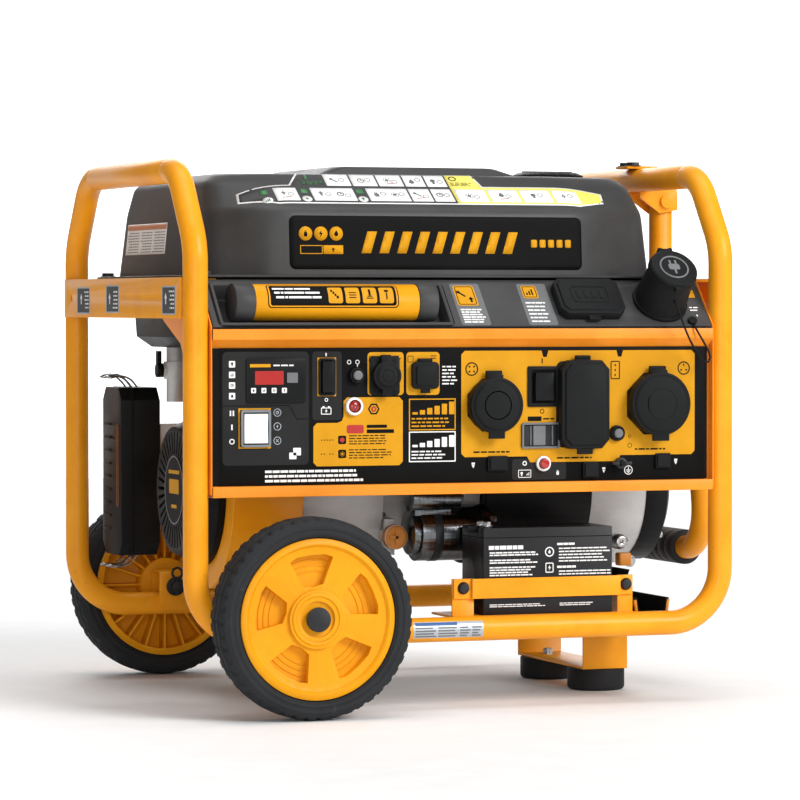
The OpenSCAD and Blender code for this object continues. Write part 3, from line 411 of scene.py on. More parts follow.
def sweep(name, pts, r, mat, sides=10, ripple=0.0):
    """Round bar along points in mm; ripple swells every second ring."""
    pts = [Vector(p) * MM for p in pts]
    n = len(pts)
    verts, faces = [], []
    up = (pts[1] - pts[0]).normalized().orthogonal().normalized()
    for i, p in enumerate(pts):
        d = (pts[min(i + 1, n - 1)] - pts[max(i - 1, 0)]).normalized()
        up = (up - d * up.dot(d)).normalized()
        side = d.cross(up)
        radius = r * MM * (1 + ripple * (i % 2))
        turn = [TAU * k / sides for k in range(sides)]
        verts += [p + (up * math.cos(t) + side * math.sin(t)) * radius for t in turn]
    for i in range(n - 1):
        faces += tube_faces(i * sides, (i + 1) * sides, sides)
    faces += [tuple(range(sides - 1, -1, -1)), tuple(range((n - 1) * sides, n * sides))]
    return add_mesh(name, verts, faces, mat, smooth=True)


def smooth_path(pts, per=6):
    """Catmull-Rom points through pts."""
    p = [Vector(q) for q in pts]
    out = []
    for i in range(len(p) - 1):
        a, b, c, d = p[max(i - 1, 0)], p[i], p[i + 1], p[min(i + 2, len(p) - 1)]
        for k in range(per):
            t = k / per
            out.append(0.5 * (2 * b + (c - a) * t + (2 * a - 5 * b + 4 * c - d) * t * t
                              + (3 * b - a - 3 * c + d) * t ** 3))
    out.append(p[-1])
    return out


# ---- the lid's tether, on the same route as its CAD solid ----
TETHER = [
    (0.213, -0.2626, 0.4406), (0.2135, -0.265, 0.438), (0.2145, -0.267, 0.4345), (0.2165, -0.268, 0.429),
    (0.2195, -0.2682, 0.421), (0.223, -0.2675, 0.4125), (0.227, -0.266, 0.405), (0.2315, -0.264, 0.3975),
    (0.2365, -0.262, 0.3905), (0.242, -0.26, 0.384), (0.247, -0.2586, 0.378), (0.2515, -0.2576, 0.374),
    (0.2565, -0.257, 0.374), (0.259, -0.2566, 0.3785), (0.2575, -0.2561, 0.385), (0.254, -0.2556, 0.3915),
    (0.2505, -0.2549, 0.398), (0.247, -0.254, 0.404), (0.2443, -0.253, 0.409), (0.243, -0.2512, 0.4126),
    (0.243, -0.248, 0.4155),
]
tether = sweep("lid_tether", [tuple(c / MM for c in p) for p in TETHER], 1.1, COVER, sides=12)
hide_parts("cap_tether")


# ---- wheels ----
def tyre(name, node, side, body):
    """Tyre with a zig-zag grooved tread, shoulder notches and ringed sidewalls."""
    cx, cy, cz = [(lo + hi) / 2 / MM for lo, hi in zip(*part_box(node))]
    wall = [(80.2, -18.4), (85.6, -18.6), (86.6, -21.8), (88.2, -22.6), (89.0, -24.2), (91.5, -24.6), (92.6, -23.9),
            (94.2, -23.9), (95.2, -24.8), (98.0, -24.9), (99.2, -24.0), (101.6, -23.0), (103.2, -21.8)]
    half = [(105.0, -20.0), (106.0, -17.2), (106.2, -15.6), (106.5, -12.0), (106.8, -9.6), (106.9, -7.6), (106.9, -5.0),
            (106.9, -2.4), (106.9, -1.0)]
    tread = half + [(r, -h) for r, h in reversed(half)]
    n, last = 288, len(tread) - 1
    verts, faces = [], []
    for i in range(n):
        a = TAU * i / n
        zig = (abs((i / 6.0) % 2 - 1) * 2 - 1) * 1.8
        ring = list(wall)
        for k, (r, h) in enumerate(tread):
            deep = 0
            if k in (3, 8, 9, 14):
                deep = 2.2
            if (k <= 2 or k >= last - 2) and i % 6 in (0, 1):
                deep = 2.0
            if k in (5, 6, 11, 12) and i % 12 == 0:
                deep = 1.6
            ring.append((r - deep, h + zig if 0 < k < last else h))
        ring += [(r, -h) for r, h in reversed(wall)]
        verts += [Vector((cx + r * math.cos(a), cy + side * h, cz + r * math.sin(a))) * MM for r, h in ring]
    m = len(ring)
    for i in range(n):
        j = (i + 1) % n
        faces += [(i * m + k, i * m + (k + 1) % m, j * m + (k + 1) % m, j * m + k) for k in range(m)]
    o = add_mesh(name, verts, faces, TYRE, body, smooth=True)
    o.data.set_sharp_from_angle(angle=math.radians(38))
    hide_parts(node)


tyre("tyre_front_look", "tyre_front", 1, "front_wheel")
tyre("tyre_rear_look", "tyre_rear", -1, "rear_wheel")


# ---- small picture signs, all generic ----
def glyph(kind, x, y, s):
    """Simple sign of half-size s centred at x, y: a list of shapes."""
    def poly(*pts):
        return [(x + s * a, y + s * b) for a, b in pts]

    def box(a, b, c, d, r=0.0):
        return rrect(x + s * a, y + s * b, x + s * c, y + s * d, s * r)

    def dot(a, b, r, n):
        return disc(x + s * a, y + s * b, s * r, n)

    def ring(a, b, r, w, n):
        return hoop(x + s * a, y + s * b, s * r, s * w, n)

    def bar(a, b, c, d, w):
        return stroke((x + s * a, y + s * b), (x + s * c, y + s * d), s * w)

    rays = [(math.cos(TAU * i / 8), math.sin(TAU * i / 8)) for i in range(8)]
    return {
        "bulb": [dot(0, 0.2, 0.45, 16), box(-0.2, -0.75, 0.2, -0.3)],
        "bars": [box(-0.65 + 0.45 * i, -0.6, -0.4 + 0.45 * i, -0.1 + 0.35 * i) for i in range(3)],
        "clock": [ring(0, 0, 0.65, 0.2, 20), bar(0, 0, 0, 0.45, 0.16), bar(0, 0, 0.3, 0, 0.16)],
        "drop": [poly((0, 0.8), (-0.45, 0), (-0.4, -0.4), (0, -0.65), (0.4, -0.4), (0.45, 0))],
        "bolt": [poly((0.15, 0.8), (-0.45, -0.1), (-0.05, -0.1), (-0.15, -0.8), (0.45, 0.15), (0.05, 0.15))],
        "cross": [bar(-0.55, -0.55, 0.55, 0.55, 0.22), bar(-0.55, 0.55, 0.55, -0.55, 0.22)],
        "wrench": [bar(-0.55, 0.5, 0.5, -0.5, 0.28), ring(-0.5, 0.45, 0.3, 0.14, 12)],
        "arrow": [poly((0, 0.7), (-0.5, 0.05), (-0.18, 0.05), (-0.18, -0.65), (0.18, -0.65), (0.18, 0.05),
                       (0.5, 0.05))],
        "sun": [dot(0, 0, 0.32, 14)] + [bar(0.48 * c, 0.48 * d, 0.75 * c, 0.75 * d, 0.13) for c, d in rays],
        "tag": [box(-0.4, -0.7, 0.4, 0.3, 0.15), ring(0, 0.5, 0.25, 0.1, 12)],
        "shield": [poly((-0.5, 0.1), (0, -0.85), (0.5, 0.1)), box(-0.5, 0.25, 0.5, 0.85)],
        "earth": [ring(0, 0, 1, 0.16, 28), bar(0, 0, 0, 0.65, 0.16)]
        + [bar(-w, -h, w, -h, 0.15) for w, h in ((0.6, 0.0), (0.4, 0.28), (0.2, 0.56))],
    }[kind]


# ---- control panel ----
TWISTLOCK, TRAVEL, DC_SOCKET, LAMP = (8.5, 328.5), (200.5, 328.5), (-115, 361), (-150, 328.5)
TILES = [(-285.4, z) for z in (374, 362.8, 351.6, 340.4)]
KEYS = (-262, -250.6, -239.2, -227.8)
KEY_Z = 346.1
SIGN_X, STOP_Z, SUN_Z = -162.7, 292.8, 277.9
NUT_SIGN, LEFT_DIAL, RIGHT_DIAL = (-127, 325.4), (-15, 367.4), (234.3, 367.1)


def panel_art(name, mat, shapes, lift=0.25, thick=0.15):
    art(name, mat, shapes, on_panel, lift=lift, thick=thick)


def on_face(centre):
    """Maps a local (x, y, h) to the panel round a centre."""
    return lambda x, y, h: on_panel(centre[0] + x, centre[1] + y, h)


def gauge(z, rise):
    """Six upright bars, each taller than the one before it."""
    return [rrect(-83 + 8.4 * i, z, -77 + 8.4 * i, z + 2.5 + rise * i, 0.4) for i in range(6)]


def light_prints():
    # the prints stop round the openings behind the rockers and the sockets
    panel_art("panel_module_print", MODULE, [
        ("windows", rrect(-296, 267, -200, 387, 5), [rrect(-274.8, 288.1, -245.2, 323.9, 0.5)]),
        ("windows", rrect(-196, 314, -163, 387, 4), [rrect(-187.2, 342.5, -172.8, 377.5, 0.5)]),
        rrect(32, 247, 95, 270, 3)], lift=0.05)
    panel_art("panel_yellow_print", LABEL, [
        [(-195, 269), (-191, 265), (-98, 265), (-94, 269), (-94, 334), (-98, 338), (-157, 338), (-161, 334),
         (-161, 318), (-163, 313), (-168, 311), (-191, 311), (-195, 307)],
        ("windows", rrect(-134, 340, -93, 386, 4), [disc(*DC_SOCKET, 11.8)]),
        ("windows", rrect(-90, 340, -52, 386, 4), [rrect(-83.8, 349.2, -56.2, 372.8, 0.5)]),
        ("windows", [(-23, 272.5), (49, 272.5), (53, 266), (155, 266), (159, 272.5), (243.5, 272.5), (247.5, 276.5),
                     (247.5, 383), (243.5, 387), (162, 387), (160, 380), (156, 380), (154, 387), (74, 387),
                     (72, 380), (68, 380), (66, 387), (-23, 387), (-27, 383), (-27, 276.5)],
         [disc(*TWISTLOCK, 28.3, 48), disc(*TRAVEL, 30.3, 48), rrect(92.9, 290.2, 131.1, 366.8, 0.5),
          rrect(56.2, 332.1, 78.8, 363.9, 0.5)])]
        + each(box_line, (-278.5, 284.8, -242.5, 327.4, 0.5, 1.8), (-190.5, 339.5, -169.5, 380.5, 0.5, 1.8),
               (-87, 302, -33.5, 336, 0.6, 1.2)))
    white = [box_line(-87, 268, -33.5, 300.8, 0.6, 1.2)]
    white += [rrect(x - 3.4, z - 3.4, x + 3.4, z + 3.4, 0.8) for x, z in TILES]
    white += each(rrect, (-288, 319.4, -286.4, 325), (-284.8, 319.4, -283.2, 325), (-286.4, 304.6, -284.8, 310.4))
    white += [hoop(-285.6, 292.4, 3.0, 1.1, 20), rrect(-181.4, 382, -180, 385.4), hoop(-180.4, 335.6, 2.0, 0.8, 16),
              box_line(-186.4, 320, -174.8, 327.4, 0.8, 0.9)]
    white += each(rrect, (-184.8, 327.4, -182.4, 328.8), (-178.8, 327.4, -176.4, 328.8))
    white += glyph("bolt", -180.6, 323.7, 3.4)
    white += each(rrect, (-222, 273, -214, 280, 0.5), (-217.5, 277, -209, 285, 0.5))
    white += each(hoop, (-154.8, 375.6, 2.4, 0.7, 16), (-145.4, 375.6, 2.4, 0.7, 16))
    white += [rrect(-145.9, 370.8, -144.9, 373)]
    white += every(rows, (-49, 350, -31, 372, 6, 1.5, 4), (-249, 247.6, -131, 262.5, 3, 2.6, 5, 1.0),
                   (-84, 270.5, -39, 281, 3, 1.5, 6))
    white += gauge(284, 2.0)
    white += every(glyph, ("shield", -13.2, 263.5, 3.6), ("shield", 139.4, 256.3, 3.6), ("shield", 225, 264.5, 3.6),
                   ("tag", 85, 254.5, 3.6), ("earth", 168.5, 256, 5.0))
    white += [hoop(46.5, 265, 2.6, 1.1, 16), box_line(39, 249.4, 54, 258, 1, 0.7)]
    white += every(glyph, ("bulb", 43, 253.6, 3.2), ("bars", 50.4, 253.6, 2.8))
    panel_art("panel_white_print", WHITE, white)
    grey = []
    for z, kind in ((322.6, "clock"), (307.9, "bolt"), (292.9, "cross")):
        grey += [hoop(-235.2, z, 4.2, 0.6, 24)] + glyph(kind, -235.2, z, 2.7)
    panel_art("panel_grey_print", SILVER, grey)
    panel_art("panel_amber_print", LABEL, gauge(319, 2.2) + rows(-84, 304.5, -39, 316.5, 3, 1.6, 7))


def dark_prints():
    dark = each(rrect, (-167.2, 288.3, -158.2, 297.3, 1.6), (-167.2, 273.4, -158.2, 282.4, 1.6))
    dark += every(rows, (-155, 287, -112, 298.5, 4, 1.1, 8), (-155, 272, -106, 283.5, 4, 1.1, 9))
    dark += [hoop(*NUT_SIGN, 6.6, 1.8, 6), rrect(-135, 299.6, -104, 303.6, 0.8), rrect(-135, 305.2, -112, 308.6, 0.8)]
    dark += each(box_line, (-132.5, 375, -126, 382, 1, 0.6), (-88.5, 375, -82, 382, 1, 0.6))
    dark += every(rows, (-104, 378, -95, 383, 2, 0.9, 10), (-62, 378, -54, 383, 2, 0.9, 11))
    dark += [hoop(*LEFT_DIAL, 7.4, 1.3, 32), hoop(*RIGHT_DIAL, 7.4, 1.3, 32),
             box_line(147.2, 355.4, 158.2, 375.4, 1.5, 1.1)]
    x, z = LEFT_DIAL
    dark += [stroke((x + 2.6 * math.cos(a), z + 2.6 * math.sin(a)), (x + 5 * math.cos(a), z + 5 * math.sin(a)), 1.5)
             for a in [TAU * (i + 0.5) / 4 for i in range(4)]]
    x, z = RIGHT_DIAL
    dark += [stroke((x + dx, z + dz), (x + dx * 1.8, z + dz * 1.8), 1.5)
             for dx, dz in ((-2.2, -1.4), (2.2, -1.4), (0, 2.6))]
    dark += [disc(152.7, z, 1.0, 10) for z in (360, 365.4, 370.8)]
    dark += [rrect(66, 373, 67.4, 378.6), hoop(66.7, 321.2, 2.6, 0.8, 20), rrect(50, 310.6, 66, 315.6, 0.4)]
    dark += every(rows, (68, 311, 82, 315, 1, 1.6, 12), (-13, 276, 34, 279.5, 1, 1.7, 13),
                  (84, 268.6, 126, 272, 1, 1.7, 14), (176, 277, 222, 280.6, 1, 1.7, 15))
    dark += each(hoop, (170, 293, 1.8, 0.5, 14), (170, 283, 2.6, 0.5, 14))
    dark += [disc(-186 + 3.2 * i, z, 0.7, 8) for z, at in ((STOP_Z, range(5)), (SUN_Z, (0, 1, 3, 4))) for i in at]
    panel_art("panel_dark_print", BLACK, dark, lift=0.45)
    # black strips behind the label plate's two ends: painted shade filling the gaps toward the posts
    panel_art("panel_end_gap_shade", BLACK,
              each(rrect, (-308.2, 245.6, -299.6, 390.8, 1.5), (258.6, 245.6, 262.5, 390.8, 1.5)),
              lift=-1.9, thick=1.86)
    panel_art("breaker_recess_print", BLACK, [box_line(49.5, 326, 85.5, 370, 1.5, 6.6)], lift=0.45)
    panel_art("start_bezel_face", BEZEL_GREY, [box_line(-276.6, 286.4, -243.4, 325.6, 2.8, 2.6)], lift=4.0, thick=0.2)
    panel_art("panel_red_print", RED, [disc(SIGN_X, STOP_Z, 2.6, 16), disc(*NUT_SIGN, 3.2, 6),
                                       rrect(-157.5, 299.6, -138.5, 308.6, 2)], lift=0.65)
    panel_art("panel_sun_print", LABEL, glyph("sun", SIGN_X, SUN_Z, 3.8) + [disc(*NUT_SIGN, 1.2, 10)], lift=0.85)
    panel_art("tile_glyph_print", BLACK,
              every(glyph, *((kind, *tile, 2.8) for kind, tile in zip(("bulb", "bars", "clock", "drop"), TILES))),
              lift=0.45)
    # step line across the left module
    step = ((-296, 330), (-222, 330), (-213.5, 315.6), (-200, 315.6))
    panel_art("module_groove_print", BLACK, [stroke(a, b, 0.9) for a, b in zip(step, step[1:])])


def display_and_selector():
    # display unit, on top of its 1.5 mm base
    panel_art("display_window", RED_GLOW, [rrect(-260.5, 352.2, -228.7, 366.6, 0.6)], lift=1.5, thick=0.5)
    panel_art("display_key", GREY, [rrect(-225, 354, -213, 364.8, 0.8)], lift=1.5, thick=1.0)
    panel_art("display_white_print", WHITE, [rrect(x - 2.7, 343.4, x + 2.7, 348.8, 0.6) for x in KEYS]
              + rows(-240, 371, -212, 374, 1, 1.5, 20), lift=1.5)
    panel_art("display_yellow_print", LABEL, [rrect(-266, 370.6, -243, 374, 0.5)], lift=1.5)
    panel_art("display_glyph_print", BLACK,
              every(glyph, *((kind, x, KEY_Z, 2.2) for kind, x in zip(("drop", "bars", "clock", "arrow"), KEYS))),
              lift=1.7)
    # selector window behind its bezel
    panel_art("selector_frame", GREY, [box_line(42.5, 281, 86.5, 309, 2.0, 2.2)], lift=3.0, thick=0.25)
    panel_art("selector_glass", DARK_STEEL, [rrect(45.6, 284.1, 83.4, 305.9)], lift=0.3, thick=0.6)
    panel_art("selector_slider", GREY, each(rrect, (56, 284.4, 70, 305.6, 0.4), (77.5, 284.4, 79, 305.6),
                                            (52.5, 284.4, 53.5, 305.6)), lift=0.9, thick=1.2)


def panel_parts():
    # cover latches under the three large sockets
    latches = ((3, 26, 257, 273.5), (114, 132.5, 248, 265.6), (200, 218, 257.5, 274))
    for i, (x0, x1, z0, z1) in enumerate(latches):
        cx, cz = (x0 + x1) / 2, (z0 + z1) / 2
        base = rrect(x0, z0, x1, z1, 1.5)
        step = [(cx + (x - cx) * 0.82, cz + (z - cz) * 0.8) for x, z in base]
        verts = [on_panel(x, z, h) for shape, h in ((base, 0.5), (base, 3.0), (step, 3.4), (step, 5.6))
                 for x, z in shape]
        n = len(base)
        faces = [tuple(range(n)), tuple(range(3 * n, 4 * n))]
        for ring in range(3):
            faces += tube_faces(ring * n, (ring + 1) * n, n)
        add_mesh("cover_latch_%d" % (i + 1), verts, faces, COVER, smooth=True, bevel=0.5)
    # white lamp ring, red dome, collars of the push buttons
    lathe("lamp_ring", [(6.9, 3.4), (6.9, 5.4), (7.6, 6.0), (9.2, 5.6), (9.8, 4.4), (9.8, 0.3), (9.1, 0.3), (9.1, 5.1),
                        (7.0, 5.1)], on_face(LAMP), WHITE_PART, n=40)
    lathe("lamp_dome", [(0.01, 6.4), (2.5, 6.1), (4.8, 5.2), (6.2, 4.1), (6.6, 3.0), (6.6, 2.9), (0.01, 2.9)],
          on_face(LAMP), RED_LENS, n=40)
    for centre, kind in (((154, 296.5), "ac"), ((-147, 361.5), "dc")):
        lathe("%s_breaker_collar" % kind, [(5.8, 4.1), (6.0, 5.6), (7.4, 5.9), (8.4, 5.2), (8.8, 0.4), (8.2, 0.4),
                                           (8.2, 4.1)], on_face(centre), PLASTIC, n=40)
    lathe("remote_ring", [(5.7, 4.1), (5.9, 4.6), (7.6, 4.6), (8.3, 3.8), (8.3, 0.3), (8.1, 0.3), (8.1, 4.1)],
          on_face((67.5, 264.5)), WHITE_PART, n=40)


def cover_relief():
    """Raised plain outlines moulded on the socket covers, on each cover's own body."""
    def above(node, sink, centre=(0, 0)):
        """Maps to the outer face of a cover, sunk a little into it."""
        top = PANEL_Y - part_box(node)[0].y / MM
        return lambda x, y, h: on_panel(centre[0] + x, centre[1] + y, top + h - sink)

    for name, centre, r in (("twistlock", TWISTLOCK, 15), ("travel", TRAVEL, 17), ("dc", DC_SOCKET, 6.5)):
        lathe("%s_cover_ring" % name, [(r - 0.8, -0.1), (r - 0.6, 0.5), (r + 0.6, 0.5), (r + 0.8, -0.1)],
              above(name + "_cover", 0.5, centre), COVER, name + "_lid", n=48)
    art("duplex_cover_outline", COVER, [box_line(98, 308, 126, 349, 3, 1.2)], above("duplex_cover", 0.6),
        "duplex_lid", lift=0.0, thick=0.55)
    relief = [box_line(104, 26, 148, 50, 5, 1.3)] + [rrect(110 + 9 * i, 32, 115 + 9 * i, 44, 2) for i in range(4)]
    art("switch_cover_pattern", COVER, relief, lambda x, v, h: on_console(x, v, 13.5 + h), "switch_cover_body",
        lift=-0.1, thick=0.7)


def socket_faces():
    """Face rings and slot marks of the two round sockets, seen when their covers are open."""
    def arc(centre, r, w, a0, a1, n=6):
        turn = [math.radians(a0 + (a1 - a0) * i / n) for i in range(n + 1)]
        return [(centre[0] + q * math.cos(t), centre[1] + q * math.sin(t))
                for q, angles in ((r + w / 2, turn), (r - w / 2, turn[::-1])) for t in angles]

    panel_art("socket_face_rings", GREY, [hoop(*TWISTLOCK, 24.5, 1.4, 40), hoop(*TRAVEL, 27, 1.4, 40)],
              lift=3.0, thick=0.12)
    panel_art("socket_face_plates", CONSOLE, [disc(*TWISTLOCK, 22, 40), disc(*TRAVEL, 24.5, 40)], lift=3.0, thick=0.08)
    slots = [arc(TWISTLOCK, 12.5, 3.0, a - 24, a + 24) for a in (90, 210, 330)] + [hoop(*TWISTLOCK, 18.5, 0.8, 40)]
    slots += each(rrect, (187, 326, 190.4, 341, 0.5), (210.6, 326, 214, 341, 0.5))
    slots += [disc(TRAVEL[0], 315.5, 3.4, 16), hoop(*TRAVEL, 20.5, 0.8, 40)]
    panel_art("socket_slot_marks", BLACK, slots, lift=3.07, thick=0.13)
    # dark strip of painted shade filling the gap between the console's lower edge and the panel's lip
    block("console_gap_shade", (-300, -247.4, 405), (258, -246, 412.6), BLACK, r=0.3)


def lid_badge():
    """Lip, ring and plain plug sign on the charging inlet's lid, on the lid's own body."""
    def lid(x, y, h):
        return on_console(LID_X + x, LID_V + y, LID_H + h)

    lathe("inlet_lid_lip", [(26.8, 0.1), (27.8, 0.3), (27.8, 1.8), (26.8, 2.2)], lid, COVER, "inlet_lid_body")
    lathe("inlet_lid_ring", [(14.6, 7.8), (14.9, 8.6), (16.5, 8.6), (16.8, 7.8)], lid, GREY, "inlet_lid_body", n=48)
    plug = each(rrect, (-6.5, -4, 6.5, 4.5, 2.5), (-4.4, 4.3, -2.2, 10, 0.6), (2.2, 4.3, 4.4, 10, 0.6),
                (-1.2, -10, 1.2, -3.8, 0.6))
    art("inlet_lid_sign", GREY, plug, lid, "inlet_lid_body", lift=7.95, thick=0.6)


def drape(name, mat, shapes, surface, lift=0.25, step=20):
    """Thin printed shapes laid on a surface: cut to a grid, dropped onto it, then given a thickness.

    surface is (place, direction of the drop, tree to land on).
    """
    place, direction, tree = surface
    bm = bmesh.new()
    for s in shapes:
        if s[0] == "loop":
            a, b = [[bm.verts.new((x, y, 0)) for x, y in loop] for loop in s[1:]]
            for quad in zip(a, a[1:] + a[:1], b[1:] + b[:1], b):
                bm.faces.new(quad)
        else:
            bm.faces.new([bm.verts.new((x, y, 0)) for x, y in s])
    for axis, normal in enumerate(((1, 0, 0), (0, 1, 0))):
        values = [v.co[axis] for v in bm.verts]
        at = math.floor(min(values) / step) * step + step
        while at < max(values):
            bmesh.ops.bisect_plane(bm, geom=bm.verts[:] + bm.edges[:] + bm.faces[:], plane_co=Vector(normal) * at,
                                   plane_no=normal)
            at += step
    d = Vector(direction).normalized()
    for v in bm.verts:
        p = place(v.co.x, v.co.y)
        hit = tree.ray_cast(p - d * 0.08, d, 0.2)
        v.co = (hit[0] if hit[0] is not None else p) - d * lift * MM
    data = bpy.data.meshes.new(name)
    bmesh.ops.recalc_face_normals(bm, faces=bm.faces)
    bm.to_mesh(data)
    bm.free()
    data.materials.append(mat)
    shade_smooth(data)
    if sum(p.normal.dot(-d) * p.area for p in data.polygons) < 0:
        data.flip_normals()
    o = bpy.data.objects.new(name, data)
    bpy.context.collection.objects.link(o)
    thick = o.modifiers.new("thickness", "SOLIDIFY")
    thick.thickness = 0.15 * MM
    thick.offset = -1
    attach(o, "chassis")


# ---- tank shell ----
def soften(corners, r, steps=5):
    """Closed outline with every corner rounded by about r."""
    out = []
    n = len(corners)
    for i in range(n):
        a, b, c = (Vector(corners[(i + k) % n]) for k in (-1, 0, 1))
        d = min(r, (a - b).length * 0.45, (c - b).length * 0.45)
        p, q = b + (a - b).normalized() * d, b + (c - b).normalized() * d
        for k in range(steps + 1):
            t = k / steps
            out.append(p * (1 - t) ** 2 + b * 2 * t * (1 - t) + q * t * t)
    return out


def curved_levels(levels, d, steps=5):
    """Levels with each inner one replaced by a short curve of length about d on each side."""
    out = [Vector(levels[0])]
    for a, b, c in zip(levels, levels[1:], levels[2:]):
        a, b, c = Vector(a), Vector(b), Vector(c)
        p = b + (a - b) * min(0.45, d / (a - b).length)
        q = b + (c - b) * min(0.45, d / (c - b).length)
        out += [p * (1 - k / steps) ** 2 + b * 2 * (k / steps) * (1 - k / steps) + q * (k / steps) ** 2
                for k in range(steps + 1)]
    out.append(Vector(levels[-1]))
    return out


def loft(rings, verts, faces):
    """Add a closed solid through rings of points in mm."""
    start = len(verts)
    n = len(rings[0])
    for ring in rings:
        verts.extend(Vector(p) * MM for p in ring)
    last = start + (len(rings) - 1) * n
    for a in range(start, last, n):
        faces.extend(tube_faces(a, a + n, n))
    faces.append(tuple(range(start + n - 1, start - 1, -1)))
    faces.append(tuple(range(last, last + n)))


def tank_shell():
    verts, faces = [], []
    levels = curved_levels([(468.6, 0, 0, 199), (538, 7, 4, 195), (569, 14, 30, 148), (579, 26, 44, 134),
                            (579, 38, 58, 122)], 9)
    rings = []
    for z, inset, cut, front in levels:
        corners = [(-290 + inset, -150 + cut), (-225 + inset / 2, -front), (137 - inset / 2, -front),
                   (236 - inset, -150 + cut), (236 - inset, 182 - inset), (214 - inset, 204 - inset),
                   (-268 + inset, 204 - inset), (-290 + inset, 182 - inset)]
        rings.append([(p.x, p.y, z) for p in soften(corners, 20)])
    loft(rings, verts, faces)
    pad = []
    for z, x0, y0, x1, y1 in ((577, -149, -127, 89, 119), (580, -145, -125, 85, 115), (585.5, -134, -120, 69, 104),
                              (587, -131, -118.5, 65, 101), (588, -127, -116, 60, 97)):
        pad.append([(x, y, z) for x, y in rrect(x0, y0, x1, y1, 16)])
    loft(pad, verts, faces)
    seam = [[(x, y, z) for x, y in rrect(-308 + g, -202 + g, 266 - g, 211 - g, 8)]
            for z, g in ((466, 0.5), (466.4, 0), (468.1, 0), (468.5, 0.5))]
    loft(seam, verts, faces)
    neck = [[(186 + x, 40 + y, z) for x, y in disc(0, 0, r, 64)]
            for z, r in ((572, 36), (579.5, 34), (581, 33), (582, 32))]
    loft(neck, verts, faces)
    shell = add_mesh("tank_shell_look", verts, faces, TANK, smooth=True)
    shell.data.set_sharp_from_angle(angle=math.radians(50))
    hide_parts("tank_upper")
    return BVHTree.FromObject(shell, bpy.context.evaluated_depsgraph_get())


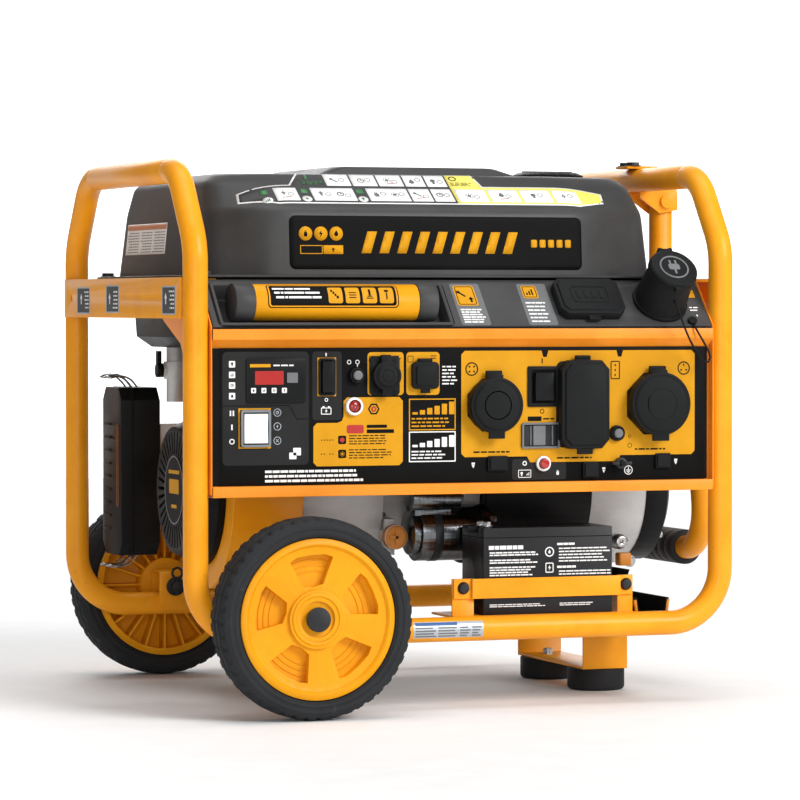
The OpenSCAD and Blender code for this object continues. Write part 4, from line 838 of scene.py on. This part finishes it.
def tank_print():
    tank = tank_shell()
    front = (lambda x, z: Vector((x, -197, z)) * MM), (0, 1, -0.06), tank
    drape("tank_decal", BLACK, [rrect(-207.4, 474.4, 131.4, 532.4, 7)], front, lift=0.2, step=8)
    dots = (-189, -171.7, -154.3)
    signs = [disc(x, 513, 7.6, 28) for x in dots]
    signs += [box_line(-195.3, 491, -170, 500.4, 0.4, 0.8), rrect(-169, 491, -146.7, 500.4, 0.4)]
    for i in range(9):
        x = -126 + i * 20.4
        signs.append([(x, 492), (x + 11, 492), (x + 18.4, 515.6), (x + 7.4, 515.6)])
    signs += [rrect(71 + 10 * i, 499, 78 + 10 * i, 507.6, 1.4) for i in range(5)]
    drape("tank_yellow_print", LABEL, signs, front, lift=0.45)
    marks = every(glyph, ("tag", dots[0], 513, 4.6), ("bolt", dots[1], 513, 5.0), ("drop", dots[2], 513, 4.8),
                  ("arrow", -158, 495.6, 3.6))
    drape("tank_dark_print", BLACK, marks, front, lift=0.65)

    # start guide on the tank's sloping shoulder, in mm along X and up the slope
    run, rise = 47 / 56.303, 31 / 56.303
    slope = (lambda x, s: Vector((x, -195 + s * run, 538 + s * rise)) * MM), (0, rise, -run), tank
    edge = [(-213.8, 13.6), (135.6, 14.0), (171.1, 31.6), (174.3, 51.0), (31.0, 51.0), (24.0, 76.0), (-178.8, 76.0),
            (-193.7, 51.0), (-251.8, 49.0), (-254.0, 32.3)]
    split = -8.0
    left = [(-213.0, 15.8), (split, 16.0), (split, 74.0), (-177.4, 74.0), (-192.2, 49.0), (-249.4, 47.2),
            (-251.4, 33.4)]
    right = [(split, 16.0), (135.0, 16.2), (169.0, 32.6), (171.6, 49.0), (29.4, 49.0), (22.4, 74.0), (split, 74.0)]
    pale = material("pale_yellow_label", "efe06a", "e8d95c", (0.42, 0.52), grain=2200, bump=0.03)
    drape("start_guide_white", WHITE, [edge], slope, lift=0.2, step=8)
    drape("start_guide_grey", CONSOLE, [left], slope, lift=0.4, step=8)
    drape("start_guide_yellow", pale, [right], slope, lift=0.4, step=8)
    upper = ((-150, -121.5), (-119.5, -91), (-89, -60.5), (-58.5, -35), (-33, -10))
    lower = ((-214, -188), (-172, -123), (-108, -61), (-59, -35), (-33, -10), (-5, 30), (33, 68), (71, 106), (109, 140))
    cells = [rrect(a, 49.5, b, 72.0, 0.8) for a, b in upper] + [rrect(a, 19.0, b, 44.5, 0.8) for a, b in lower]
    drape("start_guide_tiles", WHITE, cells, slope, lift=0.6, step=8)
    rnd = random.Random(3)
    lines, reds = [], []
    kinds = ["wrench", "drop", "arrow", "clock", "bulb", "tag", "sun", "bolt"]
    for i, c in enumerate(cells):
        xs, ys = zip(*c)
        x, y, w = (min(xs) + max(xs)) / 2, (min(ys) + max(ys)) / 2, max(xs) - min(xs)
        wide = w > 40
        for k in range(2 if wide else 1):
            cx = x + (k - 0.5) * w * 0.45 if wide else x
            lines += glyph(kinds[(i * 3 + k) % 8], cx - 3, y + rnd.uniform(-2, 2), 6.5)
            lines.append(hoop(cx + 5, y + rnd.uniform(-3, 3), 3.4, 0.7, 14))
        if i % 3 == 2:
            reds.append(stroke((x - 6, y - 7), (x + 4, y - 5), 1.0))
    drape("start_guide_lines", GREY, lines, slope, lift=0.8)
    drape("start_guide_reds", RED, reds, slope, lift=0.8)
    low, (a, b, c) = 22.5, (-224, -180, -116)
    drape("start_guide_rounds", WHITE, [disc(x, low, 5.6, 24) for x in (a, b, c)], slope, lift=0.6)
    green = every(glyph, ("bars", a, low, 4.4), ("bolt", b, low, 4.6), ("arrow", c, low, 4.6))
    green += each(rrect, (-229, 34, -221, 42, 1), (-184, 34, -176, 42, 1), (-120, 34, -112, 42, 1),
                  (-172, 62, -169, 71, 0.6))
    drape("start_guide_round_signs", GREEN, green + rows(-178, 51, -153, 59, 3, 1.2, 31), slope, lift=0.8)
    drape("start_guide_dark_signs", MODULE, [hoop(0, 66, 4.5, 1.3, 20)] + rows(-5, 51, 20, 59, 3, 1.0, 32), slope,
          lift=0.6)

    # information label on the tank's left end
    end = (lambda y, z: Vector((-283, y, z)) * MM), (1, 0, -0.1), tank
    header = material("header_print", "c07a4a", "b56f40", (0.42, 0.52), grain=2200, bump=0.03)
    drape("end_label", WHITE, [rrect(0, 492.5, 156, 527.6, 0.8)], end, lift=0.2, step=8)
    drape("end_label_header", header, [rrect(1.5, 520.6, 154.5, 526.6, 0.4)], end, lift=0.4, step=8)
    small = [bar for k in range(3) for bar in rows(4 + 51 * k, 494, 50 + 51 * k, 519, 8, 1.0, 40 + k)]
    drape("end_label_lines", GREY, small, end, lift=0.4)


def console_print():
    def label(name, mat, shapes, lift, thick=0.15):
        art(name, mat, shapes, on_console, lift=lift, thick=thick)

    pale = material("console_label", "636567", "5b5d5f", (0.42, 0.52), grain=2200, bump=0.03)
    label("console_panels_print", pale, each(rrect, (-28, 4, 6, 66, 3), (50, 4, 84, 66, 3)), 0.1)
    label("console_yellow_print", LABEL, each(rrect, (-25, 33, -1, 63, 3), (54, 44, 72, 63, 3), (250, 45, 258, 57, 1)),
          0.3)
    dark = every(glyph, ("wrench", -17, 50, 7), ("arrow", -8, 42, 6)) + [box_line(-23.4, 34.6, -2.6, 61.4, 2, 0.8)]
    label("console_dark_print", BLACK, dark + glyph("bars", 63, 53, 7) + [box_line(55.4, 45.4, 70.6, 61.6, 2, 0.8)],
          0.5)
    label("console_white_print", WHITE, every(rows, (-24, 7, 3, 29, 6, 2.0, 50, 0.8), (54, 7, 78, 40, 6, 2.0, 51, 0.8),
                                              (246, 24, 259, 32, 2, 1.6, 52)) + glyph("bolt", 252, 18, 3.0), 0.3)
    # canister label, wrapped round the tube
    tube_v, tube_r = 38, 19.5
    ay = CONSOLE_Y + tube_v * math.cos(TILT)
    az = CONSOLE_Z + tube_v * math.sin(TILT)

    def wrap(x, deg, h):
        a = math.radians(deg)
        return Vector((x, ay - (tube_r + h) * math.cos(a), az + (tube_r + h) * math.sin(a))) * MM

    def curved(name, mat, shapes, lift, r=0.0):
        """Patches on the tube given as x in mm and angle in degrees, with corners rounded by r mm."""
        per_degree = 0.34
        verts, faces = [], []
        for s in shapes:
            xs, ys = zip(*s)
            x0, x1, y0, y1 = min(xs), max(xs), min(ys), max(ys)
            bow = r / per_degree
            levels = [y0 + bow * (1 - math.cos(math.radians(18 * i))) for i in range(6)] if r else [y0]
            levels += [y0 + (y1 - y0) * i / 12 for i in range(1, 12) if bow < (y1 - y0) * i / 12 < y1 - y0 - bow]
            levels += [y0 + y1 - y for y in reversed(levels[:6])] if r else [y1]
            n = len(levels) - 1
            start = len(verts)
            for h in (lift, lift + 0.15):
                for y in levels:
                    near = min(y - y0, y1 - y) * per_degree
                    inset = r - math.sqrt(max(0.0, r * r - (r - near) ** 2)) if near < r else 0.0
                    verts += [wrap(x0 + inset, y, h), wrap(x1 - inset, y, h)]
            m = 2 * (n + 1)
            for i in range(n):
                a = start + 2 * i
                faces += [(a, a + 1, a + 3, a + 2), (a + m, a + m + 2, a + m + 3, a + m + 1),
                          (a, a + 2, a + m + 2, a + m), (a + 1, a + m + 1, a + m + 3, a + 3)]
            e = start + 2 * n
            faces += [(start, start + m, start + m + 1, start + 1), (e, e + 1, e + m + 1, e + m)]
        add_mesh(name, verts, faces, mat, "canister")

    curved("canister_outline", BLACK, [rrect(-246, -17, -99, 69)], 0.05, 4.5)
    curved("canister_border", YELLOW, [rrect(-244.8, -13.5, -100.2, 65.5)], 0.2, 3.6)
    curved("canister_label", BLACK, [rrect(-243.2, -9.5, -101.8, 61.5)], 0.35, 2.6)
    tiles = (-178.5, -159.2, -140.0, -120.8)
    curved("canister_icons", LABEL, [rrect(x, -2, x + 16, 52) for x in tiles], 0.5, 2.2)
    signs = []
    for x, marks in zip(tiles, (((3, 34, 5, 42), (5, 27, 7, 35), (7, 20, 9, 28), (9, 13, 11.5, 21)),
                                ((4, 30, 12, 33), (4, 22, 12, 25), (4, 14, 12, 17)),
                                ((7, 22, 9.4, 44), (4, 12, 12, 15), (5.4, 18, 11, 21)),
                                ((7.4, 10, 8.8, 32), (6, 34, 10.4, 42)))):
        signs += [rrect(x + a, b, x + c, d) for a, b, c, d in marks]
    curved("canister_icon_signs", BLACK, signs, 0.65)
    words = []
    for row, deg in enumerate((43, 28, 13)):
        x = -240 + 1.5 * row
        for w in ((13, 9, 18), (6, 3, 22, 16), (9, 3, 25, 10))[row]:
            words.append(rrect(x, deg, x + w, deg + 6.5))
            x += w + 1.2
    curved("canister_words", WHITE, words, 0.5)
    # raised lip round the canister's trough
    label("trough_edge_line", BLACK, [box_line(-301.5, 2.6, -35.5, 67.4, 7, 1.4)], 0.1)
    label("trough_lip", CONSOLE, [box_line(-299.4, 4.3, -37.6, 65.7, 6, 2.2)], 1.35, 0.5)


def frame_labels():
    # sticker wrapped on the front bottom tube
    tube_y, tube_z, tube_r = -234.5, 87, 13.35

    def tube_face(x, z, h):
        a = math.radians((z - tube_z) / tube_r * 57.3)
        return Vector((x, tube_y - (tube_r + h) * math.cos(a), tube_z + (tube_r + h) * math.sin(a))) * MM

    def strip(name, mat, x0, x1, z0, z1, lift=0.16):
        n = 7
        rise = [z0 + (z1 - z0) * k / (n - 1) for k in range(n)]
        verts = [tube_face(x, z, h) for h in (lift, lift + 0.12) for x in (x0, x1) for z in rise]
        low_left, low_right, top_left, top_right = 0, n, 2 * n, 3 * n
        faces = []
        for p, q in ((low_left, low_right), (top_left, top_right), (low_left, top_left), (low_right, top_right)):
            faces += [(p + k, p + k + 1, q + k + 1, q + k) for k in range(n - 1)]
        faces += [(k, top_left + k, top_right + k, low_right + k) for k in (0, n - 1)]
        add_mesh(name, verts, faces, mat)

    strip("tube_sticker", SILVER, -84, -4, 78.5, 97, 0.02)
    strip("tube_sticker_header", BLUE, -82, -34, 92.4, 96)
    for k in range(4):
        for j, (x0, x1) in enumerate(((-82, -58), (-56, -34), (-31, -19), (-17, -6))):
            strip("tube_sticker_line_%d" % (4 * k + j + 1), GREY, x0, x1 - (k * 3 + j * 2) % 5, 80 + 3 * k,
                  81.6 + 3 * k)

    end = on_plane("x", -340)
    tags = ((120, 426, 176, 456.6), (0.8, 427.4, 53.6, 458.4), (-215.6, 426, -165, 456.6))
    art("end_tags", SILVER, [rrect(*tag, 1) for tag in tags], end, lift=0.01, thick=0.04)
    art("end_tag_panels", DARK_STEEL, [rrect(y0 + 3, z0 + 1.6, y1 - 3, z1 - 1.6, 0.8) for y0, z0, y1, z1 in tags], end,
        lift=0.07, thick=0.04)
    marks = []
    for y in (131, 12, -206):
        marks += glyph("arrow", y + 26, 443, 9) + rows(y - 5, 431, y + 14, 453, 5, 1.7, y)
    art("end_tag_signs", WHITE, marks, end, lift=0.13, thick=0.04)


# ---- small parts inside the frame ----
def bolt(name, place, r, h):
    """Hexagon head with a chamfered top, on a washer 1 mm thick; its base is at height 0."""
    sides = 30
    verts = [place(x, y, z) for z in (0, 1.0) for x, y in disc(0, 0, r * 1.32, sides)]
    faces = tube_faces(0, sides, sides) + [tuple(range(sides - 1, -1, -1)), tuple(range(sides, 2 * sides))]
    start = len(verts)
    for radius, z in ((r, 1.0), (r, h * 0.82), (r * 0.86, h)):
        verts += [place(x, y, z) for x, y in disc(0, 0, radius, 6)]
    faces += tube_faces(start, start + 6, 6) + tube_faces(start + 6, start + 12, 6)
    faces += [tuple(range(start + 5, start - 1, -1)), tuple(range(start + 12, start + 18))]
    add_mesh(name, verts, faces, ZINC)


def bolt_ring(name, place, u, v, reach, half_step, count, r):
    """Bolts on a circle of radius reach round u, v; place maps a centre to a bolt's own place."""
    for i in range(count):
        a = TAU * (i + half_step) / count
        bolt("%s_%d" % (name, i + 1), place(u + reach * math.cos(a), v + reach * math.sin(a)), r, 5.5)


def block(name, lo, hi, mat, r=2.0):
    """Box with softened upright corners and chamfered rims, from lo to hi in mm."""
    verts, faces = [], []
    c = min(r * 0.5, (hi[2] - lo[2]) * 0.3)
    rings = [[(x, y, z) for x, y in rrect(lo[0] + g, lo[1] + g, hi[0] - g, hi[1] - g, r)]
             for z, g in ((lo[2], c * 0.6), (lo[2] + c, 0), (hi[2] - c, 0), (hi[2], c * 0.6))]
    loft(rings, verts, faces)
    o = add_mesh(name, verts, faces, mat, smooth=True)
    o.data.set_sharp_from_angle(angle=math.radians(40))


def battery_details():
    white = every(
        rows, (11, 170.5, 54, 175.5, 1, 4.2, 60, 0.8), (12, 163.6, 73, 168.8, 2, 1.5, 61, 0.8),
        (12, 155.2, 72, 160.6, 2, 1.5, 62, 0.8), (12, 141.6, 71, 152.8, 4, 1.5, 63, 0.8),
        (91, 174, 114, 177.4, 1, 2.4, 64, 0.6), (93, 155.4, 155, 172.6, 5, 1.4, 65, 0.8),
        (91, 149, 114, 152.4, 1, 2.4, 66, 0.6), (93, 141.2, 155, 147.6, 2, 1.4, 67, 0.8),
        (12, 108, 82, 112, 2, 1.0, 68, 0.8), (94, 108, 140, 112, 2, 1.0, 69, 0.8))
    white += [hoop(82, 167.4, 5.4, 1.3, 28), box_line(77.2, 144.6, 86.8, 155.6, 1.5, 1.1)]
    white += every(glyph, ("drop", 82, 167.4, 3.2), ("bolt", 82, 150.1, 4.0))
    art("battery_print", WHITE, white, on_plane("y", -224.5), lift=0.05, thick=0.1)
    # case seam and the two terminals
    block("battery_lid_seam", (4.6, -224.9, 183.4), (156.4, -159.1, 184.2), BLACK, r=1.5)
    for i, y in enumerate((-202.5, -181.5)):
        bolt("battery_terminal_%d" % (i + 1), along_z(18, y, 195.2), 4.2, 5.0)
    # oil switch beside the battery
    lathe("oil_sender", [(0.01, 0), (8.2, 0), (8.6, 0.6), (8.6, 12), (7.2, 12.8), (7.2, 19), (6.4, 19.8), (0.01, 19.8)],
          along_y(197, -138, 172), ZINC, n=40)
    block("sender_plug", (190, -166, 146), (205, -152, 160), CAP_ORANGE, r=2.5)
    bolt("sender_nut", along_y(209, -150, 150), 5.2, 6.0)


def engine_details():
    # oil filler cap with finger ribs
    cx, cz = -62, 181
    lathe("oil_cap", [(0.01, 10.4), (10.8, 10.4), (12.8, 9.6), (13.8, 7.8), (13.8, 0.4), (11.0, 0.4), (0.01, 0.4)],
          along_y(cx, -122.6, cz), CAP_ORANGE, n=48)
    art("oil_cap_ribs", CAP_ORANGE, [stroke((cx - 8.5, cz), (cx + 8.5, cz), 3.2),
                                     stroke((cx, cz - 8.5), (cx, cz + 8.5), 3.2)], on_plane("y", -133.0),
        lift=0.0, thick=1.4)
    # crankcase bolts: the cover's rim, and the side that faces front
    bolt_ring("case_bolt", lambda y, z: along_x(-70, y, z), AXIS_Y, AXIS_Z, 76, 0.5, 8, 4.6)
    bolt_ring("side_bolt", lambda x, z: along_y(x, -100, z), -120, 196, 42, 0.5, 4, 4.6)
    # governor arm, rod and spring above the case
    block("governor_arm", (-128, -62, 316.4), (-120, -56, 352), ZINC, r=1.2)
    sweep("governor_rod", smooth_path([(-124, -60, 346), (-150, -40, 350), (-190, 40, 340), (-216, 118, 300)], 8), 1.3,
          ZINC)
    coil = [(-124 - 52 * t + 2.6 * math.cos(TAU * 16 * t), -60 + 46 * t, 340 + 2.6 * math.sin(TAU * 16 * t) + 2 * t)
            for t in [k / 160 for k in range(161)]]
    sweep("governor_spring", coil, 0.55, ZINC, sides=6)
    # starter: end bolts, band and cable post
    for i, (y, z) in enumerate(((-147, 200), (-103, 170))):
        bolt("starter_bolt_%d" % (i + 1), along_x(41.5, y, z), 3.6, 8.0)
    lathe("starter_band", [(31.5, 0), (31.5, 9), (31.0, 9.4), (30.0, 9.4), (30.0, -0.4), (31.0, -0.4)],
          along_x(-24, -125, 185), DARK_STEEL)
    bolt("solenoid_post", along_x(5.5, -140, 224), 4.0, 8.0)
    # alternator's rim bolts
    bolt_ring("stator_bolt", lambda y, z: along_x(270.5, y, z), AXIS_Y, AXIS_Z, 80, 0.5, 4, 4.4)
    # air cleaner: parting seam, brown slot, moulded ribs, and wire bails at the top and bottom
    block("filter_seam", (-289.4, 124.7, 149.7), (-287.4, 203.3, 342.3), BLACK, r=1.0)
    art("filter_slot", BROWN, [box_line(136.5, 206, 143.5, 300, 3.4, 1.3)], on_plane("x", -302), lift=0.0, thick=0.8)
    for k in range(9):
        block("filter_rib_%d" % (k + 1), (-303.2, 168, 178 + 15 * k), (-301.6, 196, 181 + 15 * k), PLASTIC, r=0.8)
    for k, (z, d) in enumerate(((342, 1), (150, -1))):
        for j, y in enumerate((150, 176)):
            wire = [(-276, 0, 0), (-284, 0, 9), (-296, -3, 13), (-309, -6, 11), (-312, -1, 12), (-309, 5, 13),
                    (-296, 8, 14), (-286, 9, 7), (-280, 9, 0)]
            path = smooth_path([(px, y + py, z + pz * d) for px, py, pz in wire], 5)
            sweep("filter_bail_%d_%d" % (k + 1, j + 1), path, 1.2, ZINC, sides=8)
    # recoil cover's oval badge, left blank
    oval, slim = [[(AXIS_Y + a * math.cos(TAU * k / 48), AXIS_Z + b * math.sin(TAU * k / 48)) for k in range(48)]
                  for a, b in ((35, 38), (33.4, 36.4))]
    cover = on_plane("x", -285.2)
    art("recoil_badge", MODULE, [oval], cover, lift=0.05, thick=0.9)
    art("recoil_badge_rim", GREY, [("loop", oval, slim)], cover, lift=0.95, thick=0.25)
    art("recoil_badge_print", LABEL, each(rrect, (-50, 250, -10, 254, 1), (-48, 228, -12, 244, 2),
                                          (-40, 212, -20, 216, 1)), cover, lift=0.95, thick=0.2)
    # muffler guard: raised slots and bolts on the side that faces back
    for k in range(7):
        block("guard_slot_%d" % (k + 1), (-40 + 13 * k, 191.6, 252), (-33 + 13 * k, 193.2, 322), DARK_STEEL, r=1.2)
    for i, (x, z) in enumerate(((-46, 244), (54, 244), (-46, 330), (54, 330))):
        bolt("guard_bolt_%d" % (i + 1), along_y(x, 191.9, z, 1), 3.6, 4.5)


def frame_details():
    # weld beads where the cross members and plates meet the tubes
    count = 0
    for x, half in ((205, 20), (-120, 41)):
        for sy in (-1, 1):
            for sx in (-1, 1):
                count += 1
                pts = [(x + sx * (half - 5 + 5 * k / 8), sy * (220.6 - 0.6 * (k % 2)), 78 + 34 * k / 8)
                       for k in range(9)]
                sweep("member_weld_%d" % count, pts, 1.8, WELD, sides=8, ripple=0.18)
    for x in (-336.4, 293.4):
        for sy in (-1, 1):
            count += 1
            pts = [(x, sy * (230.4 + 0.3 * (k % 2)), 423 + 3.2 * k) for k in range(14)]
            sweep("plate_weld_%d" % count, pts, 1.2, WELD, sides=8, ripple=0.2)
    for i, y in enumerate((-72, 72)):
        bolt("foot_bolt_%d" % (i + 1), along_z(201, y, 28), 6.0, 6.5)


def wheel_details():
    for name, side in (("front", -1), ("rear", 1)):
        face = along_y(-210, side * 279, 107, side)
        body = name + "_wheel"
        for k, r in enumerate((50, 56, 62)):
            lathe("%s_rim_ridge_%d" % (name, k + 1), [(r - 0.9, 7.0), (r - 0.5, 7.9), (r + 0.5, 7.9), (r + 0.9, 7.0)],
                  face, YELLOW, body, n=96)
        lathe("%s_hub_ring" % name, [(23.4, 19.8), (24.0, 21.0), (27.6, 21.0), (28.4, 19.8)], face, YELLOW, body, n=72)


for make in (light_prints, dark_prints, display_and_selector, panel_parts, cover_relief, lid_badge, socket_faces,
             tank_print, console_print, frame_labels, battery_details, engine_details, frame_details, wheel_details):
    make()


# ---- stage ----
def make_stage():
    """Pale floor, and a white screen standing far behind the machine as seen by the main camera."""
    floor = material("pale_floor", "f6f6f6", "f2f2f2", (0.75, 0.85), grain=200, bump=0.01, shine=0.2)
    screen = material("pale_screen", "fafafa", "f6f6f6", (0.75, 0.85), grain=200, bump=0.01, shine=0.2)
    glow(screen, (1, 1, 1, 1), 0.85)
    foot, bend, top = 5.4, 2.0, 4.5
    outline = [(foot + bend * math.sin(math.radians(7.5 * i)), bend - bend * math.cos(math.radians(7.5 * i)))
               for i in range(13)] + [(foot + bend, top)]
    n = len(outline)
    wall = [(x, y, z) for x in (-4.0, 4.0) for y, z in outline]
    ground = [(x, y, 0.0) for y in (-40.0, 40.0) for x in (-40.0, 40.0)]
    strips = [(i, i + 1, n + i + 1, n + i) for i in range(n - 1)]
    for name, verts, faces, mat in (("stage_floor", ground, [(0, 1, 3, 2)], floor),
                                    ("stage_screen", wall, strips, screen)):
        data = bpy.data.meshes.new(name)
        data.from_pydata(verts, [], faces)
        shade_smooth(data)
        data.materials.append(mat)
        o = bpy.data.objects.new(name, data)
        o.rotation_euler = (0, 0, math.radians(-20))
        bpy.context.collection.objects.link(o)


def area(name, loc, size, power):
    """Rectangular lamp aimed at the machine's middle."""
    data = bpy.data.lights.new(name, "AREA")
    data.shape = "RECTANGLE"
    data.size, data.size_y = size
    data.energy = power
    o = bpy.data.objects.new(name, data)
    o.location = loc
    o.rotation_euler = (Vector((0, 0, 0.3)) - Vector(loc)).to_track_quat("-Z", "Y").to_euler()
    bpy.context.collection.objects.link(o)


make_stage()
world = bpy.data.worlds.new("studio")
bpy.context.scene.world = world
world.use_nodes = True
put(world.node_tree.nodes["Background"], Color=(1, 1, 1, 1), Strength=0.2)
area("key", (3.06, -5.76, 3.9), (3.24, 3.24), 432)
area("front_fill", (-2.2, -6.2, 0.9), (3.0, 2.0), 85)
area("top", (-0.18, -0.36, 5.52), (4.3, 3.6), 155)
area("left_fill", (-6.12, -2.88, 1.92), (2.7, 3.6), 14)
area("back_fill", (1.08, 5.4, 3.3), (3.6, 2.16), 97)
bpy.context.scene.view_settings.view_transform = "Standard"
